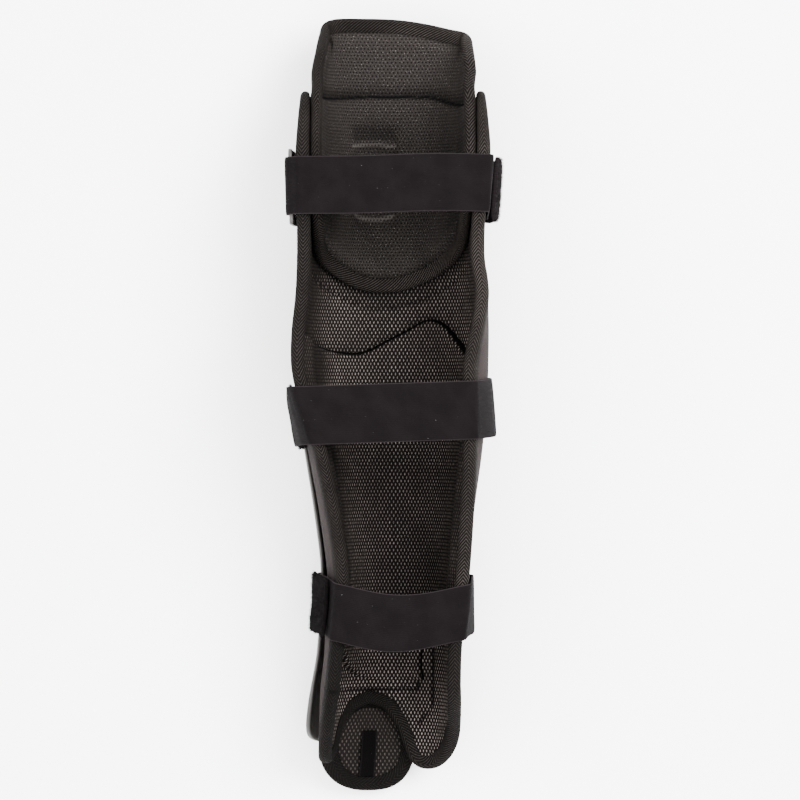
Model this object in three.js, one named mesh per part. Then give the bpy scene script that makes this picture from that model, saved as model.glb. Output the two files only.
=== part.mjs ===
import * as THREE from 'three';

const { lerp, clamp, smoothstep } = THREE.MathUtils;

// Driving sizes in millimetres. X runs across the leg, Y up the leg to the knee, and Z from
// the hard front, on which the guard lies, to the open back where the leg goes in.
const bodyLength = 455;        // lobe tips to the body's upper edge
const originReach = 248.5;     // lobe tips to the origin, which lies on the shin shell's face
const calfHalfWidth = 67.5;    // widest half of the body, outside
const wingHeight = 112;        // highest wing edge above the front face
const kneePadRise = 52.5;      // knee pad above the body's upper edge
const frontLift = 28;          // knee pad's upper end off the front face
const shoulderShare = 0.5;     // height of the widest point, as a share of the section's rise
const bottomSquareness = 2.4;  // exponent of the section's rounded bottom
const seatGap = 0.35;          // between faces that follow the same grid
const crossGap = 0.95;         // between faces whose facets do not line up
const shellGap = 1.1;          // between the shells and the body

const wrapWall = 1.6;
const linerWall = 6;
const linerTopWall = 3.6;      // the liner thins towards the body's upper edge
const linerTaper = 42;         // length of that taper
const bindingWidth = 9;
const bindingProud = 0.4;
const lobeDrop = 44;           // arch apex to the longer lobe's tip
const bodyTopRound = 16;

const shellWall = 2.6;
const shellRidge = 3.6;        // height of the moulded centre ridge
const shellRidgeHalfWidth = 30;
const shinShellLength = 296;
const kneeCapLength = 126;
const kneeCapBelow = 63.5;     // body's upper edge down to the cap's centre
const shellSpacing = 16;       // between the cap and the shin shell
const kneeCapBulge = 3;
const kneeCapSquareness = 3.2; // exponents of the shells' round-cornered outlines
const shinShellSquareness = 7;
const kneeCapCrown = { from: 0.3, to: 0.95 };  // cap's dome: flat inside from, gone at to
const roomBlend = { from: 0.25, to: 0.5 };     // shares of the half girth, centre room to side

const flapWall = 7;
const flapHalfWidth = 29.5;
const flapHalfLength = 33;
const flapSquareness = 2.5;
const flapTaper = 0.32;        // narrowing towards the flap's upper end, which the body covers
const flapShift = -16;         // flap's centre, left of the shin's centre line
const flapRise = 17;           // flap's centre above the lobe tips
const flapBindingWidth = 8.5;
const loopWidth = 10.5;
const loopLength = 31;
const loopRise = 2.6;
const loopShift = -2.5;        // loop's upper end, left of the flap's centre line
const loopLean = 2;            // sideways run of the loop over its length
const loopAbove = 0.26;        // share of the loop above the flap's centre
const tapeWall = 1.4;

const kneePadWall = 14;
const kneePadEdgeWall = 7.5;
const kneePadBindingWidth = 10;
const kneePadDepth = 131.5;    // body's upper edge down to the pad's rounded end
const kneePadEnd = 55;         // height of the rounded end
const kneePadStep = 0.3;       // share of the rise in which the pad's back steps out
const kneePadTopRound = 20;
const kneePadTopFall = 9.5;    // fall of the pad's upper edge towards the right
const kneePadInset = 3.1;      // pad's side edges in from the wing edges
const kneePadCrown = { from: 0.35, to: 0.95 }; // shares of the half girth, full wall to edge wall
const dentDepth = 5.5;
const dentHalfWidth = 15;
const dentHalfLength = 25;
const dentShift = -13;         // dent's centre, left of the shin's centre line
const dentBelow = 59;          // body's upper edge down to the dent's centre
const dentSlope = { from: 0.75, to: 1.3 };      // shares of its half size, full depth to none

const shinPadWall = 5;
const shinPadRim = 2.5;
const shinPadWave = 23;        // height of the wavy upper edge, trough to crest
const shinPadDrop = 171.5;     // body's upper edge down to the trough
const shinPadBelow = 188;      // lower edge below the origin

const strapWidth = 38;
const strapWall = 1.6;
const strapClearance = 0.8;
const wingClearance = 1.3;     // strap above the bound wing edges
const tabWall = 2.6;
const plateLength = 50;        // strap plate, measured along the leg
const plateHeight = 30;
const plateWall = 2.6;
const plateBar = 5.5;          // bar above the slot, which the top strap folds round
const plateSlot = 6;
const plateDrop = 6.5;         // wing edge down to the plate
const plateFrame = 4.5;        // beside the slot
const plateLean = 1.6;         // how soon the plate leans out, 1 at its upper edge only
const plyEnd = 3;              // wing edge down to the end of the strap's inner ply
const tabBulge = 3.4;          // top strap's tab off the strap, at the tab's middle

const flapRoom = flapWall + 2 * crossGap;
const bodyTop = bodyLength - originReach;
const bodyBottom = -originReach;
const shinPadTrough = bodyTop - shinPadDrop;

// Sections of the C-shaped body. at: 0 at the lobe tips, 1 at the body's upper edge, 2 at the
// knee pad's upper end. left, right: outer half widths, leftEdge, rightEdge: half widths at the
// wing edges, both shares of calfHalfWidth. wing: share of wingHeight. lift: the hard front's
// height, a share of frontLift. roomLeft, room, roomRight: space between shell and body, shares
// of flapRoom. shellLeft, shellRight: how far round the section the shells reach, shares of the
// half girth.
const sections = [
  { at: 0.00, left: 0.74, right: 0.66, leftEdge: 0.67, rightEdge: 0.64, wing: 0.68, lift: 0.05,
    roomLeft: 1.00, room: 1.00, roomRight: 0.15,
    shellLeft: 0.67, shellRight: 0.44 },
  { at: 0.06, left: 0.74, right: 0.66, leftEdge: 0.66, rightEdge: 0.65, wing: 0.71, lift: 0.05,
    roomLeft: 0.75, room: 1.00, roomRight: 0.12,
    shellLeft: 0.66, shellRight: 0.44 },
  { at: 0.12, left: 0.73, right: 0.665, leftEdge: 0.64, rightEdge: 0.65, wing: 0.74, lift: 0.05,
    roomLeft: 0.42, room: 1.00, roomRight: 0.10,
    shellLeft: 0.63, shellRight: 0.45 },
  { at: 0.18, left: 0.69, right: 0.67, leftEdge: 0.60, rightEdge: 0.65, wing: 0.78, lift: 0.05,
    roomLeft: 0.20, room: 0.70, roomRight: 0.05,
    shellLeft: 0.60, shellRight: 0.46 },
  { at: 0.29, left: 0.66, right: 0.74, leftEdge: 0.53, rightEdge: 0.725, wing: 0.85, lift: 0.05,
    roomLeft: 0.12, room: 0.20, roomRight: 0.00,
    shellLeft: 0.56, shellRight: 0.47 },
  { at: 0.38, left: 0.73, right: 0.79, leftEdge: 0.61, rightEdge: 0.765, wing: 0.91, lift: 0.05,
    roomLeft: 0.06, room: 0.05, roomRight: 0.00,
    shellLeft: 0.57, shellRight: 0.48 },
  { at: 0.48, left: 0.85, right: 0.88, leftEdge: 0.75, rightEdge: 0.78, wing: 0.97, lift: 0.05,
    roomLeft: 0, room: 0, roomRight: 0,
    shellLeft: 0.56, shellRight: 0.47 },
  { at: 0.57, left: 0.965, right: 0.93, leftEdge: 0.94, rightEdge: 0.765, wing: 1.00, lift: 0.05,
    roomLeft: 0, room: 0, roomRight: 0,
    shellLeft: 0.50, shellRight: 0.47 },
  { at: 0.62, left: 0.99, right: 0.94, leftEdge: 0.985, rightEdge: 0.79, wing: 1.00, lift: 0.07,
    roomLeft: 0, room: 0, roomRight: 0,
    shellLeft: 0.50, shellRight: 0.47 },
  { at: 0.67, left: 0.965, right: 0.94, leftEdge: 0.96, rightEdge: 0.88, wing: 0.98, lift: 0.15,
    roomLeft: 0, room: 0, roomRight: 0,
    shellLeft: 0.48, shellRight: 0.48 },
  { at: 0.72, left: 0.93, right: 0.925, leftEdge: 0.93, rightEdge: 0.915, wing: 0.96, lift: 0.22,
    roomLeft: 0, room: 0, roomRight: 0,
    shellLeft: 0.47, shellRight: 0.47 },
  { at: 0.77, left: 0.925, right: 0.87, leftEdge: 0.925, rightEdge: 0.865, wing: 0.95, lift: 0.16,
    roomLeft: 0, room: 0, roomRight: 0,
    shellLeft: 0.48, shellRight: 0.48 },
  { at: 0.84, left: 0.93, right: 0.90, leftEdge: 0.93, rightEdge: 0.90, wing: 0.93, lift: 0.07,
    roomLeft: 0, room: 0, roomRight: 0,
    shellLeft: 0.49, shellRight: 0.49 },
  { at: 0.92, left: 0.945, right: 0.94, leftEdge: 0.94, rightEdge: 0.935, wing: 0.88, lift: 0.08,
    roomLeft: 0, room: 0, roomRight: 0,
    shellLeft: 0.49, shellRight: 0.49 },
  { at: 1.00, left: 0.91, right: 0.90, leftEdge: 0.90, rightEdge: 0.89, wing: 0.79, lift: 0.30,
    roomLeft: 0, room: 0, roomRight: 0,
    shellLeft: 0.47, shellRight: 0.47 },
  { at: 1.50, left: 0.83, right: 0.85, leftEdge: 0.815, rightEdge: 0.835, wing: 0.63, lift: 0.62,
    roomLeft: 0, room: 0, roomRight: 0,
    shellLeft: 0.45, shellRight: 0.45 },
  { at: 2.00, left: 0.76, right: 0.80, leftEdge: 0.745, rightEdge: 0.785, wing: 0.46, lift: 1.00,
    roomLeft: 0, room: 0, roomRight: 0,
    shellLeft: 0.42, shellRight: 0.42 },
];

// Lower edge of the body. across: -1 and 1 at the wing edges. reach: 0 at the arch apex, 1 at
// the longer lobe's tip, a share of lobeDrop.
const lowerEdge = [
  { across: -1.00, reach: -0.30 },
  { across: -0.96, reach: -0.02 },
  { across: -0.88, reach: 0.34 },
  { across: -0.76, reach: 0.70 },
  { across: -0.64, reach: 0.85 },
  { across: -0.53, reach: 0.82 },
  { across: -0.45, reach: 0.65 },
  { across: -0.38, reach: 0.38 },
  { across: -0.29, reach: 0.12 },
  { across: -0.23, reach: 0.04 },
  { across: -0.17, reach: 0.00 },
  { across: -0.11, reach: 0.03 },
  { across: -0.06, reach: 0.10 },
  { across: 0.02, reach: 0.34 },
  { across: 0.07, reach: 0.60 },
  { across: 0.12, reach: 0.84 },
  { across: 0.19, reach: 0.97 },
  { across: 0.28, reach: 1.00 },
  { across: 0.37, reach: 0.95 },
  { across: 0.46, reach: 0.82 },
  { across: 0.53, reach: 0.67 },
  { across: 0.60, reach: 0.51 },
  { across: 0.68, reach: 0.33 },
  { across: 0.80, reach: 0.10 },
  { across: 0.92, reach: -0.14 },
  { across: 1.00, reach: -0.42 },
];

// Upper edge of the raised shin pad. across: shares of the half girth between the bindings.
// wave: 0 at the trough, 1 at the crest, a share of shinPadWave. foot: the lower edge's step
// up from the lowest line, a share of lobeDrop.
const shinPadEdge = [
  { across: -1.00, wave: 0.42, foot: 0.60 },
  { across: -0.80, wave: 0.42, foot: 0.55 },
  { across: -0.60, wave: 0.36, foot: 0.42 },
  { across: -0.42, wave: 0.16, foot: 0.20 },
  { across: -0.28, wave: 0.02, foot: 0.06 },
  { across: -0.15, wave: 0.02, foot: 0.00 },
  { across: -0.04, wave: 0.34, foot: 0.00 },
  { across: 0.08, wave: 0.70, foot: 0.00 },
  { across: 0.17, wave: 0.96, foot: 0.00 },
  { across: 0.25, wave: 0.92, foot: 0.00 },
  { across: 0.32, wave: 0.62, foot: 0.00 },
  { across: 0.42, wave: 0.10, foot: 0.00 },
  { across: 0.60, wave: -0.25, foot: 0.00 },
  { across: 0.80, wave: -0.45, foot: 0.00 },
  { across: 1.00, wave: -0.50, foot: 0.00 },
];

// Width of the shin pad along the leg, from its lower edge, 0, to its upper edge, 1, as shares
// of the girth between the bindings on each side.
const shinPadWidth = [
  { at: 0.00, left: 0.86, right: 0.26 },
  { at: 0.12, left: 0.94, right: 0.26 },
  { at: 0.20, left: 1.00, right: 0.50 },
  { at: 0.30, left: 1.00, right: 0.95 },
  { at: 0.40, left: 1.00, right: 1.00 },
  { at: 1.00, left: 1.00, right: 1.00 },
];

// Edges of the knee pad. across: shares of its half girth. rise: the lower edge above the lowest
// point of its rounded end, a share of kneePadEnd. fall: the upper edge's fall, a share of
// kneePadTopFall.
const kneePadEdge = [
  { across: -1.00, fall: 0.15, rise: 0.98 },
  { across: -0.94, fall: 0.13, rise: 0.80 },
  { across: -0.82, fall: 0.10, rise: 0.62 },
  { across: -0.66, fall: 0.05, rise: 0.46 },
  { across: -0.50, fall: 0.00, rise: 0.32 },
  { across: -0.36, fall: 0.00, rise: 0.19 },
  { across: -0.23, fall: 0.00, rise: 0.07 },
  { across: -0.11, fall: 0.02, rise: 0.01 },
  { across: 0.02, fall: 0.06, rise: 0.02 },
  { across: 0.14, fall: 0.14, rise: 0.10 },
  { across: 0.26, fall: 0.26, rise: 0.21 },
  { across: 0.40, fall: 0.45, rise: 0.36 },
  { across: 0.55, fall: 0.72, rise: 0.52 },
  { across: 0.70, fall: 0.95, rise: 0.66 },
  { across: 0.82, fall: 1.00, rise: 0.78 },
  { across: 0.94, fall: 1.00, rise: 0.92 },
  { across: 1.00, fall: 1.00, rise: 1.06 },
];

// Straps. leftAt, rightAt: centre line up the body on each side, 0 at the lobe tips and 1 at the
// upper edge. sag: how far the middle hangs below the line between them, a share of strapWidth.
// flare: how far its lower edge stands off the right wing, a share of strapWidth. leftStart,
// rightEnd: where the band ends round the section, shares of the half girth.
const straps = {
  top: { leftAt: 0.859, rightAt: 0.861, sag: -0.04, flare: 0, rightEnd: 0.46, plate: true },
  middle: { leftAt: 0.523, rightAt: 0.543, sag: 0, flare: 0.15,
    leftStart: -0.46, rightEnd: 0.46 },
  bottom: { leftAt: 0.254, rightAt: 0.250, sag: 0.27, flare: 0.12,
    leftStart: -0.42, rightEnd: 0.44 },
};
const flareEase = { from: 0.68, full: 0.86, back: 0.94 };  // shares along a strap
const sagSpan = { from: 0.2, to: 0.8 };        // shares along a strap between which it sags

// Closures at the straps' ends. from, to: shares along the strap. width: a share of strapWidth.
const tabs = {
  top: { from: 0.80, to: 1.00, width: 1.10 },
  middle: { from: 0.02, to: 0.22, width: 1.08 },
  bottom: { from: 0.04, to: 0.27, width: 1.03 },
};
const tabEase = { from: 0.02, to: 0.10 };      // where the strap comes down past the tab below

// Section of a bound edge. in: from the outer rim, a share of its width. deep: from the
// outside towards the leg, a share of its thickness.
const bindingSection = [
  { in: 1.00, deep: 0.00 }, { in: 0.30, deep: 0.00 }, { in: 0.00, deep: 0.26 },
  { in: 0.00, deep: 0.74 }, { in: 0.30, deep: 1.00 }, { in: 1.00, deep: 1.00 },
];

const lookOf = {
  mesh: { color: 0x2b2928, roughness: 0.95, metalness: 0 },
  smooth: { color: 0x38312f, roughness: 0.7, metalness: 0 },
  twill: { color: 0x2e2c2c, roughness: 0.85, metalness: 0 },
  plastic: { color: 0x6f6a69, roughness: 0.45, metalness: 0 },
  elastic: { color: 0x262325, roughness: 0.9, metalness: 0 },
  fuzz: { color: 0x1c1a1b, roughness: 1, metalness: 0 },
};

// Smooth curve through one column of a table, level beyond its ends
function tableValue(rows, key, column, at) {
  const last = rows.length - 1;
  if (at <= rows[0][key]) return rows[0][column];
  if (at >= rows[last][key]) return rows[last][column];
  let i = 0;
  while (rows[i + 1][key] < at) i += 1;
  const slope = (k) => {
    const a = rows[Math.max(k - 1, 0)];
    const b = rows[Math.min(k + 1, last)];
    return (b[column] - a[column]) / (b[key] - a[key]);
  };
  const span = rows[i + 1][key] - rows[i][key];
  const t = (at - rows[i][key]) / span;
  const t2 = t * t;
  const t3 = t2 * t;
  return (2 * t3 - 3 * t2 + 1) * rows[i][column]
    + (t3 - 2 * t2 + t) * span * slope(i)
    + (3 * t2 - 2 * t3) * rows[i + 1][column]
    + (t3 - t2) * span * slope(i + 1);
}

function stationOf(y) {
  return y <= bodyTop ? (y - bodyBottom) / bodyLength : 1 + (y - bodyTop) / kneePadRise;
}

function sectionValue(column, y) {
  return tableValue(sections, 'at', column, stationOf(y));
}

// Fineness of the faces
const sectionSteps = 40;       // chords that measure each half of a section
const bodyRows = 16;
const kneePadRows = 13;
const shinPadRows = 11;
const kneeCapGrid = { columns: 18, rows: 12 };
const shinShellGrid = { columns: 14, rows: 17 };
const flapGrid = 8;
const flapSides = 32;
const loopSteps = 10;
const plateSides = 24;
const foldSteps = 6;
const strapSteps = { top: 30, middle: 36, bottom: 32, tab: 7 };
const hullSteps = 18;

const sectionCache = new Map();

// One half of the section at y: points from the bottom centre to the wing edge, with their
// inward normals and their distance along the curve
function halfSection(side, y) {
  const name = `${side}:${y.toFixed(3)}`;
  if (sectionCache.has(name)) return sectionCache.get(name);
  const isLeft = side < 0;
  const wide = calfHalfWidth * sectionValue(isLeft ? 'left' : 'right', y);
  const edge = calfHalfWidth * sectionValue(isLeft ? 'leftEdge' : 'rightEdge', y);
  const floor = shellWall + shellGap + flapRoom * sectionValue('room', y)
    + frontLift * sectionValue('lift', y);
  const top = wingHeight * sectionValue('wing', y);
  const rise = (top - floor) * shoulderShare;
  const points = [];
  for (let i = 0; i <= sectionSteps; i += 1) {
    const angle = (i / sectionSteps) * Math.PI / 2;
    const power = 2 / bottomSquareness;
    points.push({ x: wide * Math.sin(angle) ** power,
      z: floor + rise * (1 - Math.max(Math.cos(angle), 0) ** power) });
  }
  for (let i = 1; i <= sectionSteps; i += 1) {
    const t = i / sectionSteps;
    points.push({ x: wide - (wide - edge) * t * t, z: floor + rise + (top - floor - rise) * t });
  }
  let length = 0;
  points.forEach((point, i) => {
    const before = points[Math.max(i - 1, 0)];
    const after = points[Math.min(i + 1, points.length - 1)];
    length += Math.hypot(point.x - before.x, point.z - before.z);
    const reach = Math.hypot(after.x - before.x, after.z - before.z);
    point.along = length;
    point.nx = i === 0 ? 0 : -(after.z - before.z) / reach;
    point.nz = i === 0 ? 1 : (after.x - before.x) / reach;
  });
  const half = { points, length };
  sectionCache.set(name, half);
  return half;
}

function girth(side, y) {
  return halfSection(side < 0 ? -1 : 1, y).length;
}

// A point of the body's surface: across -1 to 1 round the section, in millimetres of depth
// from the outside towards the leg
function onSurface(across, y, depth) {
  const side = across < 0 ? -1 : 1;
  const { points, length } = halfSection(side, y);
  const along = Math.abs(across) * length;
  let i = 0;
  while (i < points.length - 2 && points[i + 1].along < along) i += 1;
  const a = points[i];
  const b = points[i + 1];
  const t = (along - a.along) / (b.along - a.along);
  const s = clamp(t, 0, 1);
  const x = lerp(a.x, b.x, t) + depth * lerp(a.nx, b.nx, s);
  const z = lerp(a.z, b.z, t) + depth * lerp(a.nz, b.nz, s);
  return new THREE.Vector3(side * x, y, z);
}

// Thickness of wrap and liner together
function panelWall(y) {
  const thin = smoothstep(y, bodyTop - linerTaper, bodyTop);
  return wrapWall + seatGap + lerp(linerWall, linerTopWall, thin);
}

function meshOf(name, look, positions, triangles) {
  let volume = 0;
  const corner = (k) => new THREE.Vector3().fromArray(positions, 3 * k);
  for (let i = 0; i < triangles.length; i += 3) {
    volume += corner(triangles[i]).dot(corner(triangles[i + 1]).cross(corner(triangles[i + 2])));
  }
  if (volume < 0) triangles.reverse();
  const geometry = new THREE.BufferGeometry();
  geometry.setAttribute('position', new THREE.Float32BufferAttribute(positions, 3));
  geometry.setIndex(triangles);
  geometry.computeVertexNormals();
  const mesh = new THREE.Mesh(geometry, new THREE.MeshStandardMaterial(lookOf[look]));
  mesh.name = name;
  return mesh;
}

// A closed wall between two grids of points: place(i, j, face) gives face 0 and face 1
function wall(name, look, columns, rows, place) {
  const positions = [];
  const triangles = [];
  const index = (i, j, face) => (face * (rows + 1) + j) * (columns + 1) + i;
  const quad = (a, b, c, d) => triangles.push(a, b, c, a, c, d);
  for (let face = 0; face < 2; face += 1) {
    for (let j = 0; j <= rows; j += 1) {
      for (let i = 0; i <= columns; i += 1) positions.push(...place(i, j, face).toArray());
    }
  }
  for (let j = 0; j < rows; j += 1) {
    for (let i = 0; i < columns; i += 1) {
      quad(index(i, j, 1), index(i + 1, j, 1), index(i + 1, j + 1, 1), index(i, j + 1, 1));
      quad(index(i, j, 0), index(i, j + 1, 0), index(i + 1, j + 1, 0), index(i + 1, j, 0));
    }
  }
  for (let i = 0; i < columns; i += 1) {
    quad(index(i, 0, 0), index(i + 1, 0, 0), index(i + 1, 0, 1), index(i, 0, 1));
    quad(index(i, rows, 1), index(i + 1, rows, 1), index(i + 1, rows, 0), index(i, rows, 0));
  }
  for (let j = 0; j < rows; j += 1) {
    quad(index(0, j, 1), index(0, j + 1, 1), index(0, j + 1, 0), index(0, j, 0));
    quad(index(columns, j, 0), index(columns, j + 1, 0), index(columns, j + 1, 1),
      index(columns, j, 1));
  }
  return meshOf(name, look, positions, triangles);
}

// A closed ring of equal sections: place(k, m) gives corner m of section k
function ring(name, look, count, corners, place) {
  const positions = [];
  const triangles = [];
  for (let k = 0; k < count; k += 1) {
    for (let m = 0; m < corners; m += 1) positions.push(...place(k, m).toArray());
  }
  for (let k = 0; k < count; k += 1) {
    for (let m = 0; m < corners; m += 1) {
      const next = ((k + 1) % count) * corners;
      const turn = (m + 1) % corners;
      const here = k * corners;
      triangles.push(here + m, next + m, here + turn, next + m, next + turn, here + turn);
    }
  }
  return meshOf(name, look, positions, triangles);
}

// A panel on the surface, bounded by two sides, a lower curve and an upper curve. Its outline
// runs anticlockwise, and inset moves it inwards along its own normal.
function makePanel({ columns, rows, lower, upper, sideAcross }) {
  const outline = [];
  const add = (across, y) => outline.push({ u: across * girth(across, y), y });
  const rowY = (side, j) => {
    const i = side < 0 ? 0 : columns;
    return lerp(lower(i).y, upper(i).y, j / rows);
  };
  for (let i = 0; i <= columns; i += 1) add(lower(i).across, lower(i).y);
  for (let j = 1; j < rows; j += 1) add(sideAcross(1, rowY(1, j)), rowY(1, j));
  for (let i = columns; i >= 0; i -= 1) add(upper(i).across, upper(i).y);
  for (let j = rows - 1; j > 0; j -= 1) add(-sideAcross(-1, rowY(-1, j)), rowY(-1, j));
  const inset = (k, distance) => {
    const before = outline[(k + outline.length - 1) % outline.length];
    const after = outline[(k + 1) % outline.length];
    const reach = Math.hypot(after.u - before.u, after.y - before.y);
    const y = outline[k].y + distance * (after.u - before.u) / reach;
    const u = outline[k].u - distance * (after.y - before.y) / reach;
    return { across: u / girth(u, y), y };
  };
  const sideLines = new Map();
  const sideLine = (side, distance) => {
    const name = `${side}:${distance}`;
    if (!sideLines.has(name)) {
      const first = side < 0 ? outline.length : columns;
      const step = side < 0 ? -1 : 1;
      const line = [];
      for (let j = 0; j <= rows; j += 1) {
        line.push(inset((first + step * j) % outline.length, distance));
      }
      sideLines.set(name, line);
    }
    return sideLines.get(name);
  };
  const limit = (across, y, distance) => {
    const line = sideLine(across < 0 ? -1 : 1, distance);
    let j = 0;
    while (j < rows - 1 && line[j + 1].y < y) j += 1;
    const t = clamp((y - line[j].y) / (line[j + 1].y - line[j].y), 0, 1);
    return Math.abs(lerp(line[j].across, line[j + 1].across, t));
  };
  const column = (i, distance) => {
    const low = inset(i, distance);
    const high = inset(2 * columns + rows - i, distance);
    return { low, high, lowShare: low.across / limit(low.across, low.y, distance),
      highShare: high.across / limit(high.across, high.y, distance) };
  };
  const along = (i, y, distance) => {
    const { low, high, lowShare, highShare } = column(i, distance);
    const share = clamp(lerp(lowShare, highShare, (y - low.y) / (high.y - low.y)), -1, 1);
    return share * limit(share, y, distance);
  };
  const inside = (i, j, distance) => {
    const { low, high } = column(i, distance);
    if (j === 0) return low;
    if (j === rows) return high;
    const y = lerp(lower(i).y, upper(i).y, j / rows);
    return { across: along(i, y, distance), y };
  };
  return { count: outline.length, columns, rows, inset, along, inside };
}

// Bound edge: a rounded strip round a panel, between two depths
function bindingOf(name, look, panel, width, depthAt) {
  return ring(name, look, panel.count, bindingSection.length, (k, m) => {
    const spot = panel.inset(k, bindingSection[m].in * width);
    const range = depthAt(spot);
    return onSurface(spot.across, spot.y, lerp(range.from, range.to, bindingSection[m].deep));
  });
}

function panelWallOf(name, look, panel, distance, depthAt) {
  return wall(name, look, panel.columns, panel.rows, (i, j, face) => {
    const spot = panel.inside(i, j, distance);
    const isRim = Math.min(i, panel.columns - i, j, panel.rows - j) === 0;
    const range = depthAt(spot, isRim);
    return onSurface(spot.across, spot.y, face === 0 ? range.from : range.to);
  });
}

// The body: a smooth outer wrap, the mesh-faced liner in it, and the bound edge round both
function bodyPanel() {
  const columns = lowerEdge.length - 1;
  const apex = bodyBottom + lobeDrop;
  const upperDrop = (across) => {
    const past = Math.max(Math.abs(across) * girth(across, bodyTop)
      - girth(across, bodyTop) + bodyTopRound, 0);
    return bodyTopRound - Math.sqrt(Math.max(bodyTopRound ** 2 - past ** 2, 0));
  };
  return makePanel({
    columns,
    rows: bodyRows,
    lower: (i) => ({ across: lowerEdge[i].across, y: apex - lobeDrop * lowerEdge[i].reach }),
    upper: (i) => ({ across: lowerEdge[i].across, y: bodyTop - upperDrop(lowerEdge[i].across) }),
    sideAcross: () => 1,
  });
}

function body(panel) {
  const inner = bindingWidth + 2 * seatGap;
  return [
    panelWallOf('outer_wrap', 'smooth', panel, inner, () => ({ from: 0, to: wrapWall })),
    panelWallOf('liner', 'mesh', panel, inner,
      ({ y }) => ({ from: wrapWall + seatGap, to: panelWall(y) })),
    bindingOf('edge_binding', 'twill', panel, bindingWidth,
      ({ y }) => ({ from: -bindingProud, to: panelWall(y) + bindingProud })),
  ];
}

function shellRoom(across, y) {
  const side = sectionValue(across < 0 ? 'roomLeft' : 'roomRight', y);
  const blend = smoothstep(Math.abs(across), roomBlend.from, roomBlend.to);
  return shellGap + flapRoom * lerp(sectionValue('room', y), side, blend);
}

function ridgeAt(point) {
  return shellRidge * (1 - smoothstep(Math.abs(point.x), 0, shellRidgeHalfWidth));
}

// Spreads a square grid over a square with round corners; a higher power is squarer
function squircle(i, j, columns, rows, power) {
  const a = 2 * i / columns - 1;
  const b = 2 * j / rows - 1;
  const most = Math.max(Math.abs(a), Math.abs(b));
  if (most === 0) return { a, b };
  const scale = (Math.abs(a / most) ** power + Math.abs(b / most) ** power) ** (1 / power);
  return { a: a / scale, b: b / scale };
}

// A hard shell follows the body outside it and is flat where it meets the ground plane
function shell(name, { columns, rows }, power, low, high, bulge) {
  return wall(name, 'plastic', columns, rows, (i, j, face) => {
    const { a, b } = squircle(i, j, columns, rows, power);
    const y = lerp(low, high, (b + 1) / 2);
    const across = a * sectionValue(a < 0 ? 'shellLeft' : 'shellRight', y);
    const room = shellRoom(across, y);
    if (face === 1) return onSurface(across, y, -room);
    const rim = Math.max(Math.abs(a), Math.abs(b));
    const point = onSurface(across, y, -room - shellWall);
    const swell = ridgeAt(point)
      + bulge * (1 - smoothstep(rim, kneeCapCrown.from, kneeCapCrown.to));
    const out = onSurface(across, y, -room - shellWall - swell);
    out.z = Math.max(out.z, 0);
    return out;
  });
}

function shells() {
  const capHigh = bodyTop - kneeCapBelow + kneeCapLength / 2;
  const capLow = capHigh - kneeCapLength;
  const shinHigh = capLow - shellSpacing;
  return [
    shell('knee_cap', kneeCapGrid, kneeCapSquareness, capLow, capHigh, kneeCapBulge),
    shell('shin_shell', shinShellGrid, shinShellSquareness, shinHigh - shinShellLength,
      shinHigh, 0),
  ];
}

// The raised shin pad lies on the liner and shares its columns
function shinPad(panel) {
  const rows = shinPadRows;
  const edge = bindingWidth + 2 * seatGap;
  return wall('shin_pad', 'mesh', panel.columns, rows, (i, j, face) => {
    const share = clamp(panel.along(i, shinPadTrough, edge), -1, 1);
    const low = -shinPadBelow + lobeDrop * tableValue(shinPadEdge, 'across', 'foot', share);
    const high = shinPadTrough + shinPadWave * tableValue(shinPadEdge, 'across', 'wave', share);
    const t = j / rows;
    const y = lerp(low, high, t);
    const side = share < 0 ? 'left' : 'right';
    const across = panel.along(i, y, edge) * tableValue(shinPadWidth, 'at', side, t);
    const isRim = Math.min(i, panel.columns - i, j, rows - j) === 0;
    const rise = isRim ? shinPadRim : shinPadWall;
    return onSurface(across, y, panelWall(y) + crossGap + face * rise);
  });
}

// The knee pad lies on the liner and stands above the body's upper edge, where its back steps
// out to the body's outer line
function kneePadBack(y) {
  const out = smoothstep(y, bodyTop + crossGap, bodyTop + kneePadStep * kneePadRise);
  return lerp(panelWall(y) + crossGap, 2 * wrapWall, out);
}

function kneePadSide(side, y) {
  return 1 - kneePadInset / girth(side, y);
}

function kneePadDepthAt(spot, isRim) {
  const from = kneePadBack(spot.y);
  const crown = 1 - smoothstep(Math.abs(spot.across), kneePadCrown.from, kneePadCrown.to);
  const x = onSurface(spot.across, spot.y, from).x - dentShift;
  const outX = smoothstep(Math.abs(x) / dentHalfWidth, dentSlope.from, dentSlope.to);
  const outY = smoothstep(Math.abs(spot.y - bodyTop + dentBelow) / dentHalfLength,
    dentSlope.from, dentSlope.to);
  const dent = dentDepth * (1 - outX) * (1 - outY);
  const inside = lerp(kneePadEdgeWall, kneePadWall, crown) - dent;
  return { from, to: from + (isRim ? kneePadEdgeWall : inside) };
}

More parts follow.
